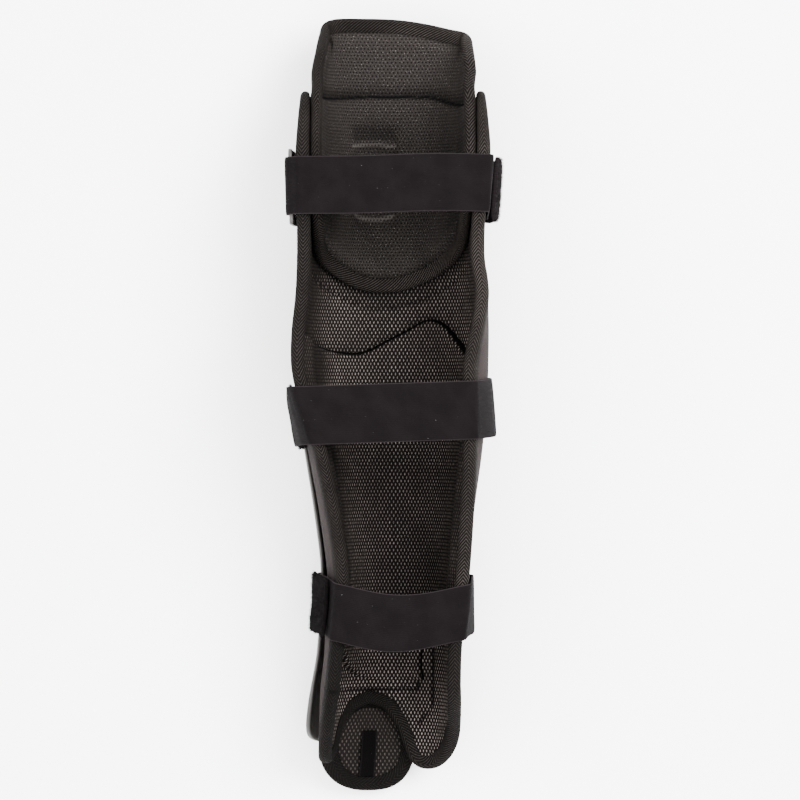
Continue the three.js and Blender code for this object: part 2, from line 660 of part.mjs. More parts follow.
function kneePad() {
  const columns = kneePadEdge.length - 1;
  const padTop = bodyTop + kneePadRise;
  const shareOf = (i) => kneePadEdge[i].across;
  const at = (share, y) => ({ across: share * kneePadSide(share, y), y });
  const lower = (i) => at(shareOf(i),
    bodyTop - kneePadDepth + kneePadEnd * kneePadEdge[i].rise);
  const upper = (i) => {
    const past = Math.max((Math.abs(shareOf(i)) - 1) * girth(shareOf(i), padTop)
      + kneePadTopRound, 0);
    const drop = kneePadTopRound - Math.sqrt(Math.max(kneePadTopRound ** 2 - past ** 2, 0));
    return at(shareOf(i), padTop - drop - kneePadTopFall * kneePadEdge[i].fall);
  };
  const panel = makePanel({ columns, rows: kneePadRows, lower, upper,
    sideAcross: kneePadSide });
  const inner = kneePadBindingWidth + crossGap;
  return [
    panelWallOf('knee_pad', 'mesh', panel, inner, kneePadDepthAt),
    bindingOf('knee_pad_binding', 'twill', panel, kneePadBindingWidth,
      (spot) => kneePadDepthAt(spot, true)),
  ];
}

// How far round the section a point of the plan lies
function acrossAt(x, y) {
  const side = x < 0 ? -1 : 1;
  const { points, length } = halfSection(side, y);
  let i = 0;
  while (i < sectionSteps && points[i + 1].x < Math.abs(x)) i += 1;
  const t = clamp((Math.abs(x) - points[i].x) / (points[i + 1].x - points[i].x), 0, 1);
  return side * lerp(points[i].along, points[i + 1].along, t) / length;
}

// The round ankle flap hangs between shell and body, below the arch
function ankleFlap() {
  const spot = (a, b, depth) => {
    const narrow = 1 - flapTaper * Math.max(b / flapHalfLength, 0);
    const x = flapShift + a * narrow;
    const y = bodyBottom + flapRise + b;
    return onSurface(acrossAt(x, y), y, depth);
  };
  const inner = 1 - (flapBindingWidth + seatGap) / flapHalfWidth;
  const disc = wall('ankle_flap', 'mesh', flapGrid, flapGrid, (i, j, face) => {
    const { a, b } = squircle(i, j, flapGrid, flapGrid, flapSquareness);
    return spot(a * inner * flapHalfWidth, b * inner * flapHalfLength,
      -crossGap - (face === 0 ? flapWall : 0));
  });
  const edge = ring('ankle_flap_binding', 'twill', flapSides, bindingSection.length, (k, m) => {
    const angle = 2 * Math.PI * k / flapSides;
    const cos = Math.cos(angle);
    const sin = Math.sin(angle);
    const reach = (Math.abs(cos) ** flapSquareness + Math.abs(sin) ** flapSquareness)
      ** (-1 / flapSquareness);
    const share = reach * (1 - bindingSection[m].in * flapBindingWidth / flapHalfWidth);
    return spot(share * cos * flapHalfWidth, share * sin * flapHalfLength,
      -crossGap - flapWall * (1 - bindingSection[m].deep));
  });
  const loop = wall('ankle_loop', 'elastic', 1, loopSteps, (i, j, face) => {
    const t = j / loopSteps;
    const arch = loopRise * Math.sin(Math.PI * t) ** 2;
    return spot((i - 0.5) * loopWidth + loopShift + loopLean * t,
      (t - 1 + loopAbove) * loopLength,
      -crossGap + seatGap + arch + (face === 0 ? 0 : tapeWall));
  });
  return [disc, edge, loop];
}

// Outside of what a strap lies on at y, as a convex line from the left side over the open back
// to the right side
function hullLine(strap, y) {
  const pastShell = 0.04;
  const crest = [0.2, 0.8];
  const spots = [];
  const add = (across) => {
    const shellEnd = sectionValue(across < 0 ? 'shellLeft' : 'shellRight', y) + pastShell;
    const outside = Math.abs(across) < shellEnd
      ? -shellRoom(across, y) - shellWall : -bindingProud;
    spots.push(onSurface(across, y, outside));
  };
  for (let i = 0; i <= hullSteps; i += 1) {
    if (!strap.plate) add(lerp(strap.leftStart, -1, i / hullSteps));
    add(lerp(strap.rightEnd, 1, i / hullSteps));
  }
  if (strap.plate) {
    const lying = plateDepth(plateDrop) - plateWall;
    spots.push(belowEdge(y, plateDrop + plateBar, lying), belowEdge(y, plateDrop, lying));
  }
  [-1, 1].forEach((side) => {
    const lifted = side * (1 + wingClearance / girth(side, y));
    spots.push(...crest.map((share) => onSurface(lifted, y, share * panelWall(y))));
  });
  const middle = new THREE.Vector3(0, y, 0.5 * wingHeight);
  const turn = (p) => Math.atan2(p.x - middle.x, p.z - middle.z);
  spots.sort((p, q) => turn(p) - turn(q));
  const line = [];
  const cross = (o, p, q) => (p.x - o.x) * (q.z - o.z) - (p.z - o.z) * (q.x - o.x);
  spots.forEach((spot) => {
    while (line.length > 1 && cross(line[line.length - 2], line[line.length - 1], spot) >= 0) {
      line.pop();
    }
    line.push(spot);
  });
  return line;
}

function alongLine(line, share) {
  const lengths = [0];
  for (let i = 1; i < line.length; i += 1) {
    lengths.push(lengths[i - 1] + line[i].distanceTo(line[i - 1]));
  }
  const target = clamp(share, 0, 1) * lengths[lengths.length - 1];
  let i = 0;
  while (i < line.length - 2 && lengths[i + 1] < target) i += 1;
  const t = clamp((target - lengths[i]) / (lengths[i + 1] - lengths[i]), 0, 1);
  return new THREE.Vector3().lerpVectors(line[i], line[i + 1], t);
}

// Moves each point of a line off it, to the side that faces away from the leg
function offLine(line, i, distance) {
  const before = line[Math.max(i - 1, 0)];
  const after = line[Math.min(i + 1, line.length - 1)];
  const reach = Math.hypot(after.x - before.x, after.z - before.z);
  return new THREE.Vector3(line[i].x - distance * (after.z - before.z) / reach, line[i].y,
    line[i].z + distance * (after.x - before.x) / reach);
}

// Height of a strap's centre line, at a share of its way from left to right
function strapLevel(strap, share) {
  const over = clamp((share - sagSpan.from) / (sagSpan.to - sagSpan.from), 0, 1);
  return bodyBottom + bodyLength * lerp(strap.leftAt, strap.rightAt, share)
    - strapWidth * strap.sag * Math.sin(Math.PI * over) ** 2;
}

// Shares along a strap, closer together where it turns over the wing edges
function strapShares(strap, from, to, steps) {
  const hull = hullLine(strap, strapLevel(strap, 0.5));
  const turnHeight = 0.75 * wingHeight;
  const turnReach = 0.025;
  const samples = 240;
  const turns = [];
  let length = 0;
  hull.forEach((point, i) => {
    length += i === 0 ? 0 : point.distanceTo(hull[i - 1]);
    if (point.z > turnHeight) turns.push(length);
  });
  const near = (share) => turns.reduce((sum, turn) => sum
    + Math.exp(-(((share - turn / length) / turnReach) ** 2)), 1);
  const sums = [0];
  for (let k = 1; k <= samples; k += 1) {
    sums.push(sums[k - 1] + near(lerp(from, to, (k - 0.5) / samples)));
  }
  const shares = [];
  for (let i = 0; i <= steps; i += 1) {
    const target = sums[samples] * i / steps;
    let k = 0;
    while (k < samples - 1 && sums[k + 1] < target) k += 1;
    shares.push(lerp(from, to, (k + (target - sums[k]) / (sums[k + 1] - sums[k])) / samples));
  }
  return shares;
}

// How far a strap stands off the right wing, at a share of its way and at v across its width
function flareAt(strap, share, v) {
  const out = smoothstep(share, flareEase.from, flareEase.full);
  const back = smoothstep(share, flareEase.back, 1);
  return strap.flare * (strapWidth / 2 - v) * out * (1 - back);
}

// Line of a strap's inner face at v across its width, from share from to share to
function strapLine(strap, v, { from = 0, to = 1, steps, off }) {
  const step = 0.012;
  const line = [];
  for (const share of strapShares(strap, from, to, steps)) {
    const hull = hullLine(strap, strapLevel(strap, share) + v);
    const near = [share - step, share, share + step].map((at) => alongLine(hull, at));
    line.push(offLine(near, 1, off(share) + flareAt(strap, share, v)));
  }
  return line;
}

function band(name, look, thick, width, lineAt) {
  const lines = [-0.5, 0, 0.5].map((share) => lineAt(share * width));
  return wall(name, look, lines[0].length - 1, 2,
    (i, j, face) => offLine(lines[j], i, face * thick));
}

// A point of the left wing's outer face, a distance below the wing edge
function belowEdge(y, distance, depth) {
  return onSurface(-1 + distance / girth(-1, y), y, depth);
}

// The plate leans out from its foot to leave room for the strap's inner ply
function plateDepth(distance) {
  const foot = plateDrop + plateHeight;
  const lean = (foot - distance) / (foot - plateDrop);
  return -crossGap - (strapWall + seatGap) * Math.min(plateLean * lean, 1);
}

function strapPlate(strap) {
  const slotTop = plateDrop + plateBar;
  const box = (k, halfLength, high, low) => {
    const a = Math.cos(2 * Math.PI * k / plateSides);
    const b = Math.sin(2 * Math.PI * k / plateSides);
    const most = Math.max(Math.abs(a), Math.abs(b));
    return { y: strapLevel(strap, 0) + halfLength * a / most,
      down: (high + low) / 2 + (low - high) / 2 * b / most };
  };
  const corners = [[0, 0], [1, 0], [1, 1], [0, 1]];
  return ring('strap_plate', 'plastic', plateSides, corners.length, (k, m) => {
    const [inner, outside] = corners[m];
    const spot = inner
      ? box(k, plateLength / 2 - plateFrame, slotTop, slotTop + plateSlot)
      : box(k, plateLength / 2, plateDrop, plateDrop + plateHeight);
    return belowEdge(spot.y, spot.down, plateDepth(spot.down) - outside * plateWall);
  });
}

// The top strap's inner ply, its fold round the plate's bar, and its run over the open back
function topStrapLine(strap, v) {
  const y = strapLevel(strap, 0) + v;
  const inner = -strapClearance;
  const outer = plateDepth(plateDrop) - plateWall - strapClearance;
  const radius = (inner - strapWall - outer) / 2;
  const centre = plateDrop + plateBar + seatGap;
  const ply = [belowEdge(y, plyEnd, inner - strapWall)];
  for (let k = 0; k <= foldSteps; k += 1) {
    const angle = Math.PI * k / foldSteps;
    ply.push(belowEdge(y, centre + radius * Math.sin(angle),
      inner - strapWall - radius * (1 - Math.cos(angle))));
  }
  const run = strapLine(strap, v, { steps: strapSteps.top, off: () => strapClearance });
  return [...ply, ...run.slice(1)];
}

function strapBands() {
  const level = () => strapClearance;
  const overTab = (share) => strapClearance + (tabWall + crossGap)
    * (1 - smoothstep(share, tabs.middle.to + tabEase.from, tabs.middle.to + tabEase.to));
  const outside = () => strapClearance + strapWall + crossGap;
  const bulging = (share) => outside() + tabBulge
    * Math.sin(Math.PI * (share - tabs.top.from) / (tabs.top.to - tabs.top.from)) ** 2;
  const tab = (name, off) => band(`${name}_strap_tab`, 'fuzz', tabWall,
    strapWidth * tabs[name].width, (v) => strapLine(straps[name], v,
      { from: tabs[name].from, to: tabs[name].to, steps: strapSteps.tab, off }));
  const strap = (name, lineAt) => band(`${name}_strap`, 'elastic', strapWall, strapWidth, lineAt);
  return [
    strap('top', (v) => topStrapLine(straps.top, v)),
    tab('top', bulging),
    strapPlate(straps.top),
    strap('middle', (v) => strapLine(straps.middle, v, { steps: strapSteps.middle,
      off: overTab })),
    tab('middle', level),
    strap('bottom', (v) => strapLine(straps.bottom, v, { steps: strapSteps.bottom,
      off: level })),
    tab('bottom', outside),
  ];
}

const guard = new THREE.Group();
const panel = bodyPanel();
guard.add(...body(panel), ...shells(), shinPad(panel), ...kneePad(), ...ankleFlap(),
  ...strapBands());

export default guard;
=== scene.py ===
"""Looks of an ice hockey shin guard that lies on its hard front, seen from its open back."""

import math
import random
from bisect import bisect_left

import bpy
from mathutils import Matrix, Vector, noise


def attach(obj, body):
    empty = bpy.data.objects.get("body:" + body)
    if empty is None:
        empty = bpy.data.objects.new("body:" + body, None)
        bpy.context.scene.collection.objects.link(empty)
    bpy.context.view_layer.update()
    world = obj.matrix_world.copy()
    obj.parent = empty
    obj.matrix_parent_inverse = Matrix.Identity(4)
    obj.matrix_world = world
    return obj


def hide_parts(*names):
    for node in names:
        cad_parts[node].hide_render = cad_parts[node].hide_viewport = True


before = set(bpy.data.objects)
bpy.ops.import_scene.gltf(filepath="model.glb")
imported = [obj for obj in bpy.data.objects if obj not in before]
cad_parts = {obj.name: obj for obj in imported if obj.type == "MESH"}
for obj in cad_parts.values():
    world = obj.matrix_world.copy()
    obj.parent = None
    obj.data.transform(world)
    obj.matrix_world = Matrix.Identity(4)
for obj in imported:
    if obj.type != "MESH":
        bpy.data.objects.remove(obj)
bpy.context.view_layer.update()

# Sizes in millimetres, as on the solids. X runs across the leg, Y up the leg, and Z from the
# hard front to the open back.
MM = 0.001
BODY_LENGTH = 455
ORIGIN_REACH = 248.5
CALF_HALF_WIDTH = 67.5
WING_HEIGHT = 112
KNEE_PAD_RISE = 52.5
FRONT_LIFT = 28
SHOULDER_SHARE = 0.5
BOTTOM_SQUARENESS = 2.4
SEAT_GAP = 0.35
CROSS_GAP = 0.95
SHELL_GAP = 1.1

WRAP_WALL = 1.6
LINER_WALL = 6
LINER_TOP_WALL = 3.6
LINER_TAPER = 42
BINDING_WIDTH = 9
BINDING_PROUD = 0.4
LOBE_DROP = 44
BODY_TOP_ROUND = 16
BODY_ROWS = 16

SHELL_WALL = 2.6
SHELL_RIDGE = 3.6
SHELL_RIDGE_HALF_WIDTH = 30
SHIN_SHELL_LENGTH = 296
KNEE_CAP_LENGTH = 126
KNEE_CAP_BELOW = 63.5
SHELL_SPACING = 16
KNEE_CAP_BULGE = 3
KNEE_CAP_SQUARENESS = 3.2
SHIN_SHELL_SQUARENESS = 7
KNEE_CAP_CROWN = (0.3, 0.95)
ROOM_BLEND = (0.25, 0.5)

FLAP_WALL = 7
FLAP_HALF_WIDTH = 29.5
FLAP_HALF_LENGTH = 33
FLAP_SQUARENESS = 2.5
FLAP_TAPER = 0.32
FLAP_SHIFT = -16
FLAP_RISE = 17
FLAP_BINDING_WIDTH = 8.5
LOOP_WIDTH = 10.5
LOOP_LENGTH = 31
LOOP_RISE = 2.6
LOOP_SHIFT = -2.5
LOOP_LEAN = 2
LOOP_ABOVE = 0.26
TAPE_WALL = 1.4

KNEE_PAD_WALL = 14
KNEE_PAD_EDGE_WALL = 7.5
KNEE_PAD_BINDING_WIDTH = 10
KNEE_PAD_DEPTH = 131.5
KNEE_PAD_END = 55
KNEE_PAD_STEP = 0.3
KNEE_PAD_TOP_ROUND = 20
KNEE_PAD_TOP_FALL = 9.5
KNEE_PAD_INSET = 3.1
KNEE_PAD_CROWN = (0.35, 0.95)
KNEE_PAD_ROWS = 13
DENT_DEPTH = 5.5
DENT_HALF_WIDTH = 15
DENT_HALF_LENGTH = 25
DENT_SHIFT = -13
DENT_BELOW = 59
DENT_SLOPE = (0.75, 1.3)

SHIN_PAD_WALL = 5
SHIN_PAD_WAVE = 23
SHIN_PAD_DROP = 171.5
SHIN_PAD_BELOW = 188
SHIN_PAD_ROWS = 11

STRAP_WIDTH = 38
STRAP_WALL = 1.6
STRAP_CLEARANCE = 0.8
WING_CLEARANCE = 1.3
TAB_WALL = 2.6
PLATE_LENGTH = 50
PLATE_HEIGHT = 30
PLATE_WALL = 2.6
PLATE_BAR = 5.5
PLATE_SLOT = 6
PLATE_DROP = 6.5
PLATE_FRAME = 4.5
PLATE_LEAN = 1.6
PLY_END = 3
TAB_BULGE = 3.4

FLAP_ROOM = FLAP_WALL + 2 * CROSS_GAP
BODY_TOP = BODY_LENGTH - ORIGIN_REACH
BODY_BOTTOM = -ORIGIN_REACH
SHIN_PAD_TROUGH = BODY_TOP - SHIN_PAD_DROP


def named(columns, *rows):
    """A table: one dictionary for each row."""
    names = columns.split()
    return [dict(zip(names, row)) for row in rows]


# The solids' tables: sections of the body, its lower edge, the pads' edges and the straps
SECTIONS = named(
    "at left right left_edge right_edge wing lift room_left room room_right"
    " shell_left shell_right",
    (0.00, 0.74, 0.66, 0.67, 0.64, 0.68, 0.05, 1.00, 1.00, 0.15, 0.67, 0.44),
    (0.06, 0.74, 0.66, 0.66, 0.65, 0.71, 0.05, 0.75, 1.00, 0.12, 0.66, 0.44),
    (0.12, 0.73, 0.665, 0.64, 0.65, 0.74, 0.05, 0.42, 1.00, 0.10, 0.63, 0.45),
    (0.18, 0.69, 0.67, 0.60, 0.65, 0.78, 0.05, 0.20, 0.70, 0.05, 0.60, 0.46),
    (0.29, 0.66, 0.74, 0.53, 0.725, 0.85, 0.05, 0.12, 0.20, 0.00, 0.56, 0.47),
    (0.38, 0.73, 0.79, 0.61, 0.765, 0.91, 0.05, 0.06, 0.05, 0.00, 0.57, 0.48),
    (0.48, 0.85, 0.88, 0.75, 0.78, 0.97, 0.05, 0, 0, 0, 0.56, 0.47),
    (0.57, 0.965, 0.93, 0.94, 0.765, 1.00, 0.05, 0, 0, 0, 0.50, 0.47),
    (0.62, 0.99, 0.94, 0.985, 0.79, 1.00, 0.07, 0, 0, 0, 0.50, 0.47),
    (0.67, 0.965, 0.94, 0.96, 0.88, 0.98, 0.15, 0, 0, 0, 0.48, 0.48),
    (0.72, 0.93, 0.925, 0.93, 0.915, 0.96, 0.22, 0, 0, 0, 0.47, 0.47),
    (0.77, 0.925, 0.87, 0.925, 0.865, 0.95, 0.16, 0, 0, 0, 0.48, 0.48),
    (0.84, 0.93, 0.90, 0.93, 0.90, 0.93, 0.07, 0, 0, 0, 0.49, 0.49),
    (0.92, 0.945, 0.94, 0.94, 0.935, 0.88, 0.08, 0, 0, 0, 0.49, 0.49),
    (1.00, 0.91, 0.90, 0.90, 0.89, 0.79, 0.30, 0, 0, 0, 0.47, 0.47),
    (1.50, 0.83, 0.85, 0.815, 0.835, 0.63, 0.62, 0, 0, 0, 0.45, 0.45),
    (2.00, 0.76, 0.80, 0.745, 0.785, 0.46, 1.00, 0, 0, 0, 0.42, 0.42),
)
LOWER_EDGE = named(
    "across reach",
    (-1.00, -0.30), (-0.96, -0.02), (-0.88, 0.34), (-0.76, 0.70), (-0.64, 0.85),
    (-0.53, 0.82), (-0.45, 0.65), (-0.38, 0.38), (-0.29, 0.12), (-0.23, 0.04),
    (-0.17, 0.00), (-0.11, 0.03), (-0.06, 0.10), (0.02, 0.34), (0.07, 0.60),
    (0.12, 0.84), (0.19, 0.97), (0.28, 1.00), (0.37, 0.95), (0.46, 0.82),
    (0.53, 0.67), (0.60, 0.51), (0.68, 0.33), (0.80, 0.10), (0.92, -0.14), (1.00, -0.42),
)
SHIN_PAD_EDGE = named(
    "across wave foot",
    (-1.00, 0.42, 0.60), (-0.80, 0.42, 0.55), (-0.60, 0.36, 0.42), (-0.42, 0.16, 0.20),
    (-0.28, 0.02, 0.06), (-0.15, 0.02, 0.00), (-0.04, 0.34, 0.00), (0.08, 0.70, 0.00),
    (0.17, 0.96, 0.00), (0.25, 0.92, 0.00), (0.32, 0.62, 0.00), (0.42, 0.10, 0.00),
    (0.60, -0.25, 0.00), (0.80, -0.45, 0.00), (1.00, -0.50, 0.00),
)
SHIN_PAD_WIDTH = named(
    "at left right",
    (0.00, 0.86, 0.26), (0.12, 0.94, 0.26), (0.20, 1.00, 0.50), (0.30, 1.00, 0.95),
    (0.40, 1.00, 1.00), (1.00, 1.00, 1.00),
)
KNEE_PAD_EDGE = named(
    "across fall rise",
    (-1.00, 0.15, 0.98), (-0.94, 0.13, 0.80), (-0.82, 0.10, 0.62), (-0.66, 0.05, 0.46),
    (-0.50, 0.00, 0.32), (-0.36, 0.00, 0.19), (-0.23, 0.00, 0.07), (-0.11, 0.02, 0.01),
    (0.02, 0.06, 0.02), (0.14, 0.14, 0.10), (0.26, 0.26, 0.21), (0.40, 0.45, 0.36),
    (0.55, 0.72, 0.52), (0.70, 0.95, 0.66), (0.82, 1.00, 0.78), (0.94, 1.00, 0.92),
    (1.00, 1.00, 1.06),
)
STRAPS = {
    "top": {"left": 0.859, "right": 0.861, "sag": -0.04, "flare": 0, "end": 0.46, "steps": 30},
    "middle": {"left": 0.523, "right": 0.543, "sag": 0, "flare": 0.15, "start": -0.46,
               "end": 0.46, "steps": 36},
    "bottom": {"left": 0.254, "right": 0.250, "sag": 0.27, "flare": 0.12, "start": -0.42,
               "end": 0.44, "steps": 32},
}
SAG_SPAN = (0.2, 0.8)
FLARE_EASE = (0.68, 0.86)
FLARE_BACK = (0.94, 1)
TABS = {
    "top": {"from": 0.80, "to": 1.00, "width": 1.10},
    "middle": {"from": 0.02, "to": 0.22, "width": 1.08},
    "bottom": {"from": 0.04, "to": 0.27, "width": 1.03},
}
TAB_EASE = (0.02, 0.10)
TAB_STEPS = 7
HULL_STEPS = 18
FOLD_STEPS = 6
# Section of a bound edge: share of its width in from the rim, share of its thickness
BINDING_SECTION = ((1, 0), (0.30, 0), (0, 0.26), (0, 0.74), (0.30, 1), (1, 1))
# Section of the strap plate's frame: share of its width inwards, share of its thickness
PLATE_SECTION = ((0, 0.12), (0.1, 0), (0.9, 0), (1, 0.12), (1, 0.88), (0.9, 1), (0.1, 1), (0, 0.88))
PLATE_SQUARENESS = 14

# Fineness of the visible meshes
SECTION_STEPS = 40
BODY_GRID = (150, 170)
KNEE_PAD_GRID = (130, 150)
SHIN_PAD_GRID = (130, 170)
SHELL_GRID = (70, 120)
FLAP_GRID = (56, 56)
LOOP_GRID = (12, 60)
CROWDING = 0.5
TAPE_CORNERS = 15
TAPE_STEPS = 720
KNEE_TAPE_STEPS = 400
FLAP_TAPE_STEPS = 200
PLATE_STEPS = 96
BAND_ROWS = 24
BAND_FINE = 5
BAND_LINES = (-0.5, -0.25, 0, 0.25, 0.5)

# Softness of the cloth's edges
TUCK = 1.2
LINER_ROUND = 7
LINER_SINK = 1.6
KNEE_PAD_ROUND = 9
KNEE_PAD_RIM = 0.75
SHIN_PAD_ROUND = 6
SHIN_PAD_ROOT = 0.5
SHIN_PAD_SIDE = 15
SHIN_PAD_SIDE_START = -4
FREE_SIDE = 0.8
FLAP_SOFT = 1.8
FLAP_ROUND = 0.35
LOOP_THIN = 0.35
BAND_THIN = 0.55
PILE_THIN = 0.9
PILE_WAVES = 1.1
PILE_WAVE_SIZE = 8
SHELL_THIN = 0.35
SHELL_RIM = (0.97, 1.0)

# Unevenness of the cloth: its height, the size of its features and the seed of its noise
UNEVEN = {
    "outer_cloth": (0.25, 26, 1.0),
    "mesh_liner": (0.3, 17, 3.0),
    "knee_cushion": (0.35, 15, 7.0),
    "shin_cushion": (0.35, 19, 11.0),
    "ankle_cushion": (0.25, 9, 5.0),
}
CALM_EDGE = 6

# Bristles of the fuzzy tape, four faces each
TUFT_FACES = ((0, 2, 1), (0, 1, 3), (1, 2, 3), (2, 0, 3))
TUFT_COUNT = 2600
TUFT_LENGTH = 2.0
TUFT_WIDTH = 0.11
TUFT_ROOT = 0.3
TUFT_LEAN = 0.7
TUFT_RIM_LEAN = 1.6
PILE_SEEDS = {"top": 2.0, "middle": 4.0, "bottom": 6.0}

# The sewn line below the knee pad, with shade painted into it, and how it fades towards the right
CREASE_BELOW = 10
CREASE_HALF_WIDTH = 2.2
CREASE_DEPTH = 2.4
CREASE_FADE = (0.1, 0.9)
CREASE_SHADE = 0.6
# Short creases in the liner, with shade painted into them. x0, y0, x1, y1: their ends. wide: half
# width. deep: depth.
CREASES = named(
    "x0 y0 x1 y1 wide deep",
    (26.5, -162, 26, -206, 1.3, 1.6),
    (-46, -194.5, 16.5, -194.5, 1.4, 1.2),
    (16.5, -188, 16.5, -194.5, 1.4, 1.2),
    (18, -217, 23, -209, 1.2, 1.4),
)
SHORT_CREASE_SHADE = 0.8
# Shade in the liner below the knee pad and above the shin pad
SHADE_START = 2
SHADE_BELOW = 16
SHADE_ABOVE = 7
SHADE_RIGHT = 0.6
SHADE_MARK = 0.5
# Shade painted along the shin pad's edge. It fades from the pad's sides and is slimmer on the free
# side.
PAD_EDGE_SHADE = (0.9, 3.0)
SEAM_FADE = (1.0, 13.0)
SEAM_SLIM = 1.0

# The sewn line across the knee pad. Its ends fall, between two distances from the middle.
SEAM_RISE = 0.8
SEAM_FALL = 6.5
SEAM_FALL_SPAN = (22, 60)
SEAM_LEFT_FALL = 2
SEAM_LEFT_SPAN = (18, 60)
SEAM_ABOVE = 8
SEAM_UNDER = 1.7
SEAM_DEPTH = 5
SEAM_LINE = 1.2
SEAM_SHADE = (0.55, 7)
# Highlight painted on the rim below that line: its strength, its distance from the line and its half
# width
SEAM_HIGHLIGHT = (0.5, 3.0, 1.4)
# Raised lips round the knee pad's dent, with a highlight painted on them. y: from the body's upper
# edge down. bow: rise of the lip's middle. shift: its centre from the dent's. half: its half width.
LIPS = named(
    "y bow shift half",
    (32.2, 1.6, -0.4, 15.5),
    (78.6, -3.0, 0, 14),
)
LIP_HEIGHT = 1.8
LIP_HALF_WIDTH = 1.8
LIP_ENDS = (0.85, 1.1)
CHANNEL_DEPTH = 2.6
CHANNEL_TOP = (14, 22)
CHANNEL_FOOT = (30, 33)
# Shade painted in the channel above the upper lip
CHANNEL_SHADE = 0.5

# Straps over the body: where they clear the shell, and where their points crowd together
PAST_SHELL = 0.04
HULL_PIVOT = 0.5
WING_LIFTS = (0.2, 0.8)
TURN_LEVEL = 0.75
TURN_WIDTH = 0.025
SHARE_SAMPLES = 240
SHARE_STEP = 0.012

# Where light and shade painted on the mesh change along and across the cloth, in millimetres
CALF_SPAN = (-60.0, 20.0)
ANKLE_SPAN = (-170.0, -120.0)
KNEE_SPAN = (150.0, 225.0)
LEFT_WALL_SPAN = (-72.0, -44.0)
RIGHT_WALL_SPAN = (60.0, 88.0)
# Where light and shade painted on the tape change, in metres: near the arch, off the left lobe,
# across the leg
ARCH_SPAN = (-0.165, -0.125)
LEFT_LOBE_SPAN = (-0.052, -0.042)
SIDE_SPAN = (-0.03, 0.03)
# Weaves, in millimetres. Cells: pitch across and along the cloth, half width and half height.
SHIN_CELL = (2.87, 2.35, 0.52, 0.98)
KNEE_CELL = (2.87, 2.2, 0.7, 0.62)
CELL_EDGE = (0.65, 1.15)
TWILL_PITCH = 2.5
TWILL_FOLD = 6.3
TWILL_SLANT = 1.3
TWILL_START = 1.0
KNEE_TWILL_FOLD = 11.0
KNEE_TWILL_START = -3.0
KNIT_PITCH = 0.698132
RIB_PITCH = 1.15
WEFT_PITCH = 0.8
ROLLED_EDGE = (1.1, 0.35)
# Reflectance of the looks. Pairs: darker and lighter parts.
# Painted shade in seams, creases and hollows
SEAM_SHADE_TONE = 0.0004
SHIN_GROUND = (0.0015, 0.0026)
SHIN_CELL_TONE = 0.125
# Painted highlight on raised lips
SHIN_HIGHLIGHT_TONE = 0.02
KNEE_GROUND = (0.0056, 0.0082)
KNEE_LIT_TOP_TONE = 0.0080
# Painted glints on the knee mesh
GLINT_TONE = 0.08
PINHOLE_TONE = 0.0006
# Painted highlight on the knee pad's lips
LIP_HIGHLIGHT_TONE = (0.003, 0.024)
TWILL_TONE = (0.0012, 0.021)
KNIT_GROUND = (0.0054, 0.0078)
SCUFF_TONE = 0.013
STRAP_TONE = 0.0021
# Painted shade: the ankle loop is a darker copy of the strap elastic
LOOP_SHADED_TONE = 0.0005
LINT_TONE = 0.06
FUZZY_TONE = 0.0028
WORN_FUZZY_TONE = 0.009
PLASTIC_GROUND = (0.028, 0.038)
WORN_PLASTIC_TONE = 0.06
FLOOR_TONE = (0.955, 0.975)
# Painted shade: the flap's mesh and tape are darker copies of the liner's mesh and the edge tape
FLAP_MESH_SHADE = 0.24
FLAP_TWILL_SHADE = 0.45
MESH_WARMTH = 0.2
KNEE_WARMTH = 0.18
SOFT_SPAN = (0.3, 0.7)
# Noise: features to a millimetre of cloth or to a metre of space, and its detail
NOISE = {
    "mesh_sway": (0.08, 2.0),
    "mesh_cells": (0.55, 2.0),
    "mesh_clouds": (0.035, 3.0),
    "knee_glints": (1.1, 2.0),
    "knee_clouds": (0.03, 3.0),
    "twill_grain": (0.9, 3.0),
    "twill_wear": (14.0, 3.0),
    "knit_clouds": (0.05, 4.0),
    "knit_scuffs": (0.25, 5.0),
    "strap_clouds": (0.06, 4.0),
    "lint": (0.8, 1.0),
    "fuzz": (2.2, 6.0),
    "plastic_clouds": (18.0, 4.0),
    "plastic_scratches": (140.0, 6.0),
    "plastic_grain": (2600.0, 2.0),
    "floor_clouds": (3.0, 3.0),
    "floor_grain": (60.0, 3.0),
}
# Relief: height in metres and strength
RELIEF = {
    "shin_mesh": (-0.0004, 0.7),
    "knee_mesh": (0.0006, 0.9),
    "twill": (0.0008, 1.0),
    "knit": (0.00012, 0.5),
    "elastic": (0.00015, 0.6),
    "pile": (0.0012, 1.0),
    "plastic": (0.00008, 0.5),
    "floor": (0.0002, 0.2),
}
MATT_CLOTH = {"Sheen_Weight": 0.0, "Specular_IOR_Level": 0.03}
KNEE_CLOTH = {"Sheen_Weight": 0.0, "Specular_IOR_Level": 0.04}
MATT_TAPE = {"Sheen_Weight": 0.0, "Specular_IOR_Level": 0.02}

# Camera, lights and floor, in metres. Lights: name, place, size, power.
CAMERA_HEIGHT = 1.96
CAMERA_CENTRE = (0.0043, 0.0023)
FRAME_WIDTH = 0.528
FRAME_LEVEL = 0.08
SENSOR = 36.0
LIGHTS = (
    ("key", (0.9, 0.5, 1.5), 1.0, 140.0),
    ("fill", (-1.1, 0.2, 1.2), 1.2, 46.0),
    ("top", (0.0, -0.6, 1.8), 1.4, 64.0),
)
WORLD_STRENGTH = 3.0
FLOOR_SIZE = 6.0
FLOOR_WALL = 0.02

section_cache = {}


def lerp(a, b, t):
    return a + (b - a) * t


def clamp(x, low, high):
    return min(max(x, low), high)


def smoothstep(x, low, high):
    t = clamp((x - low) / (high - low), 0, 1)
    return t * t * (3 - 2 * t)


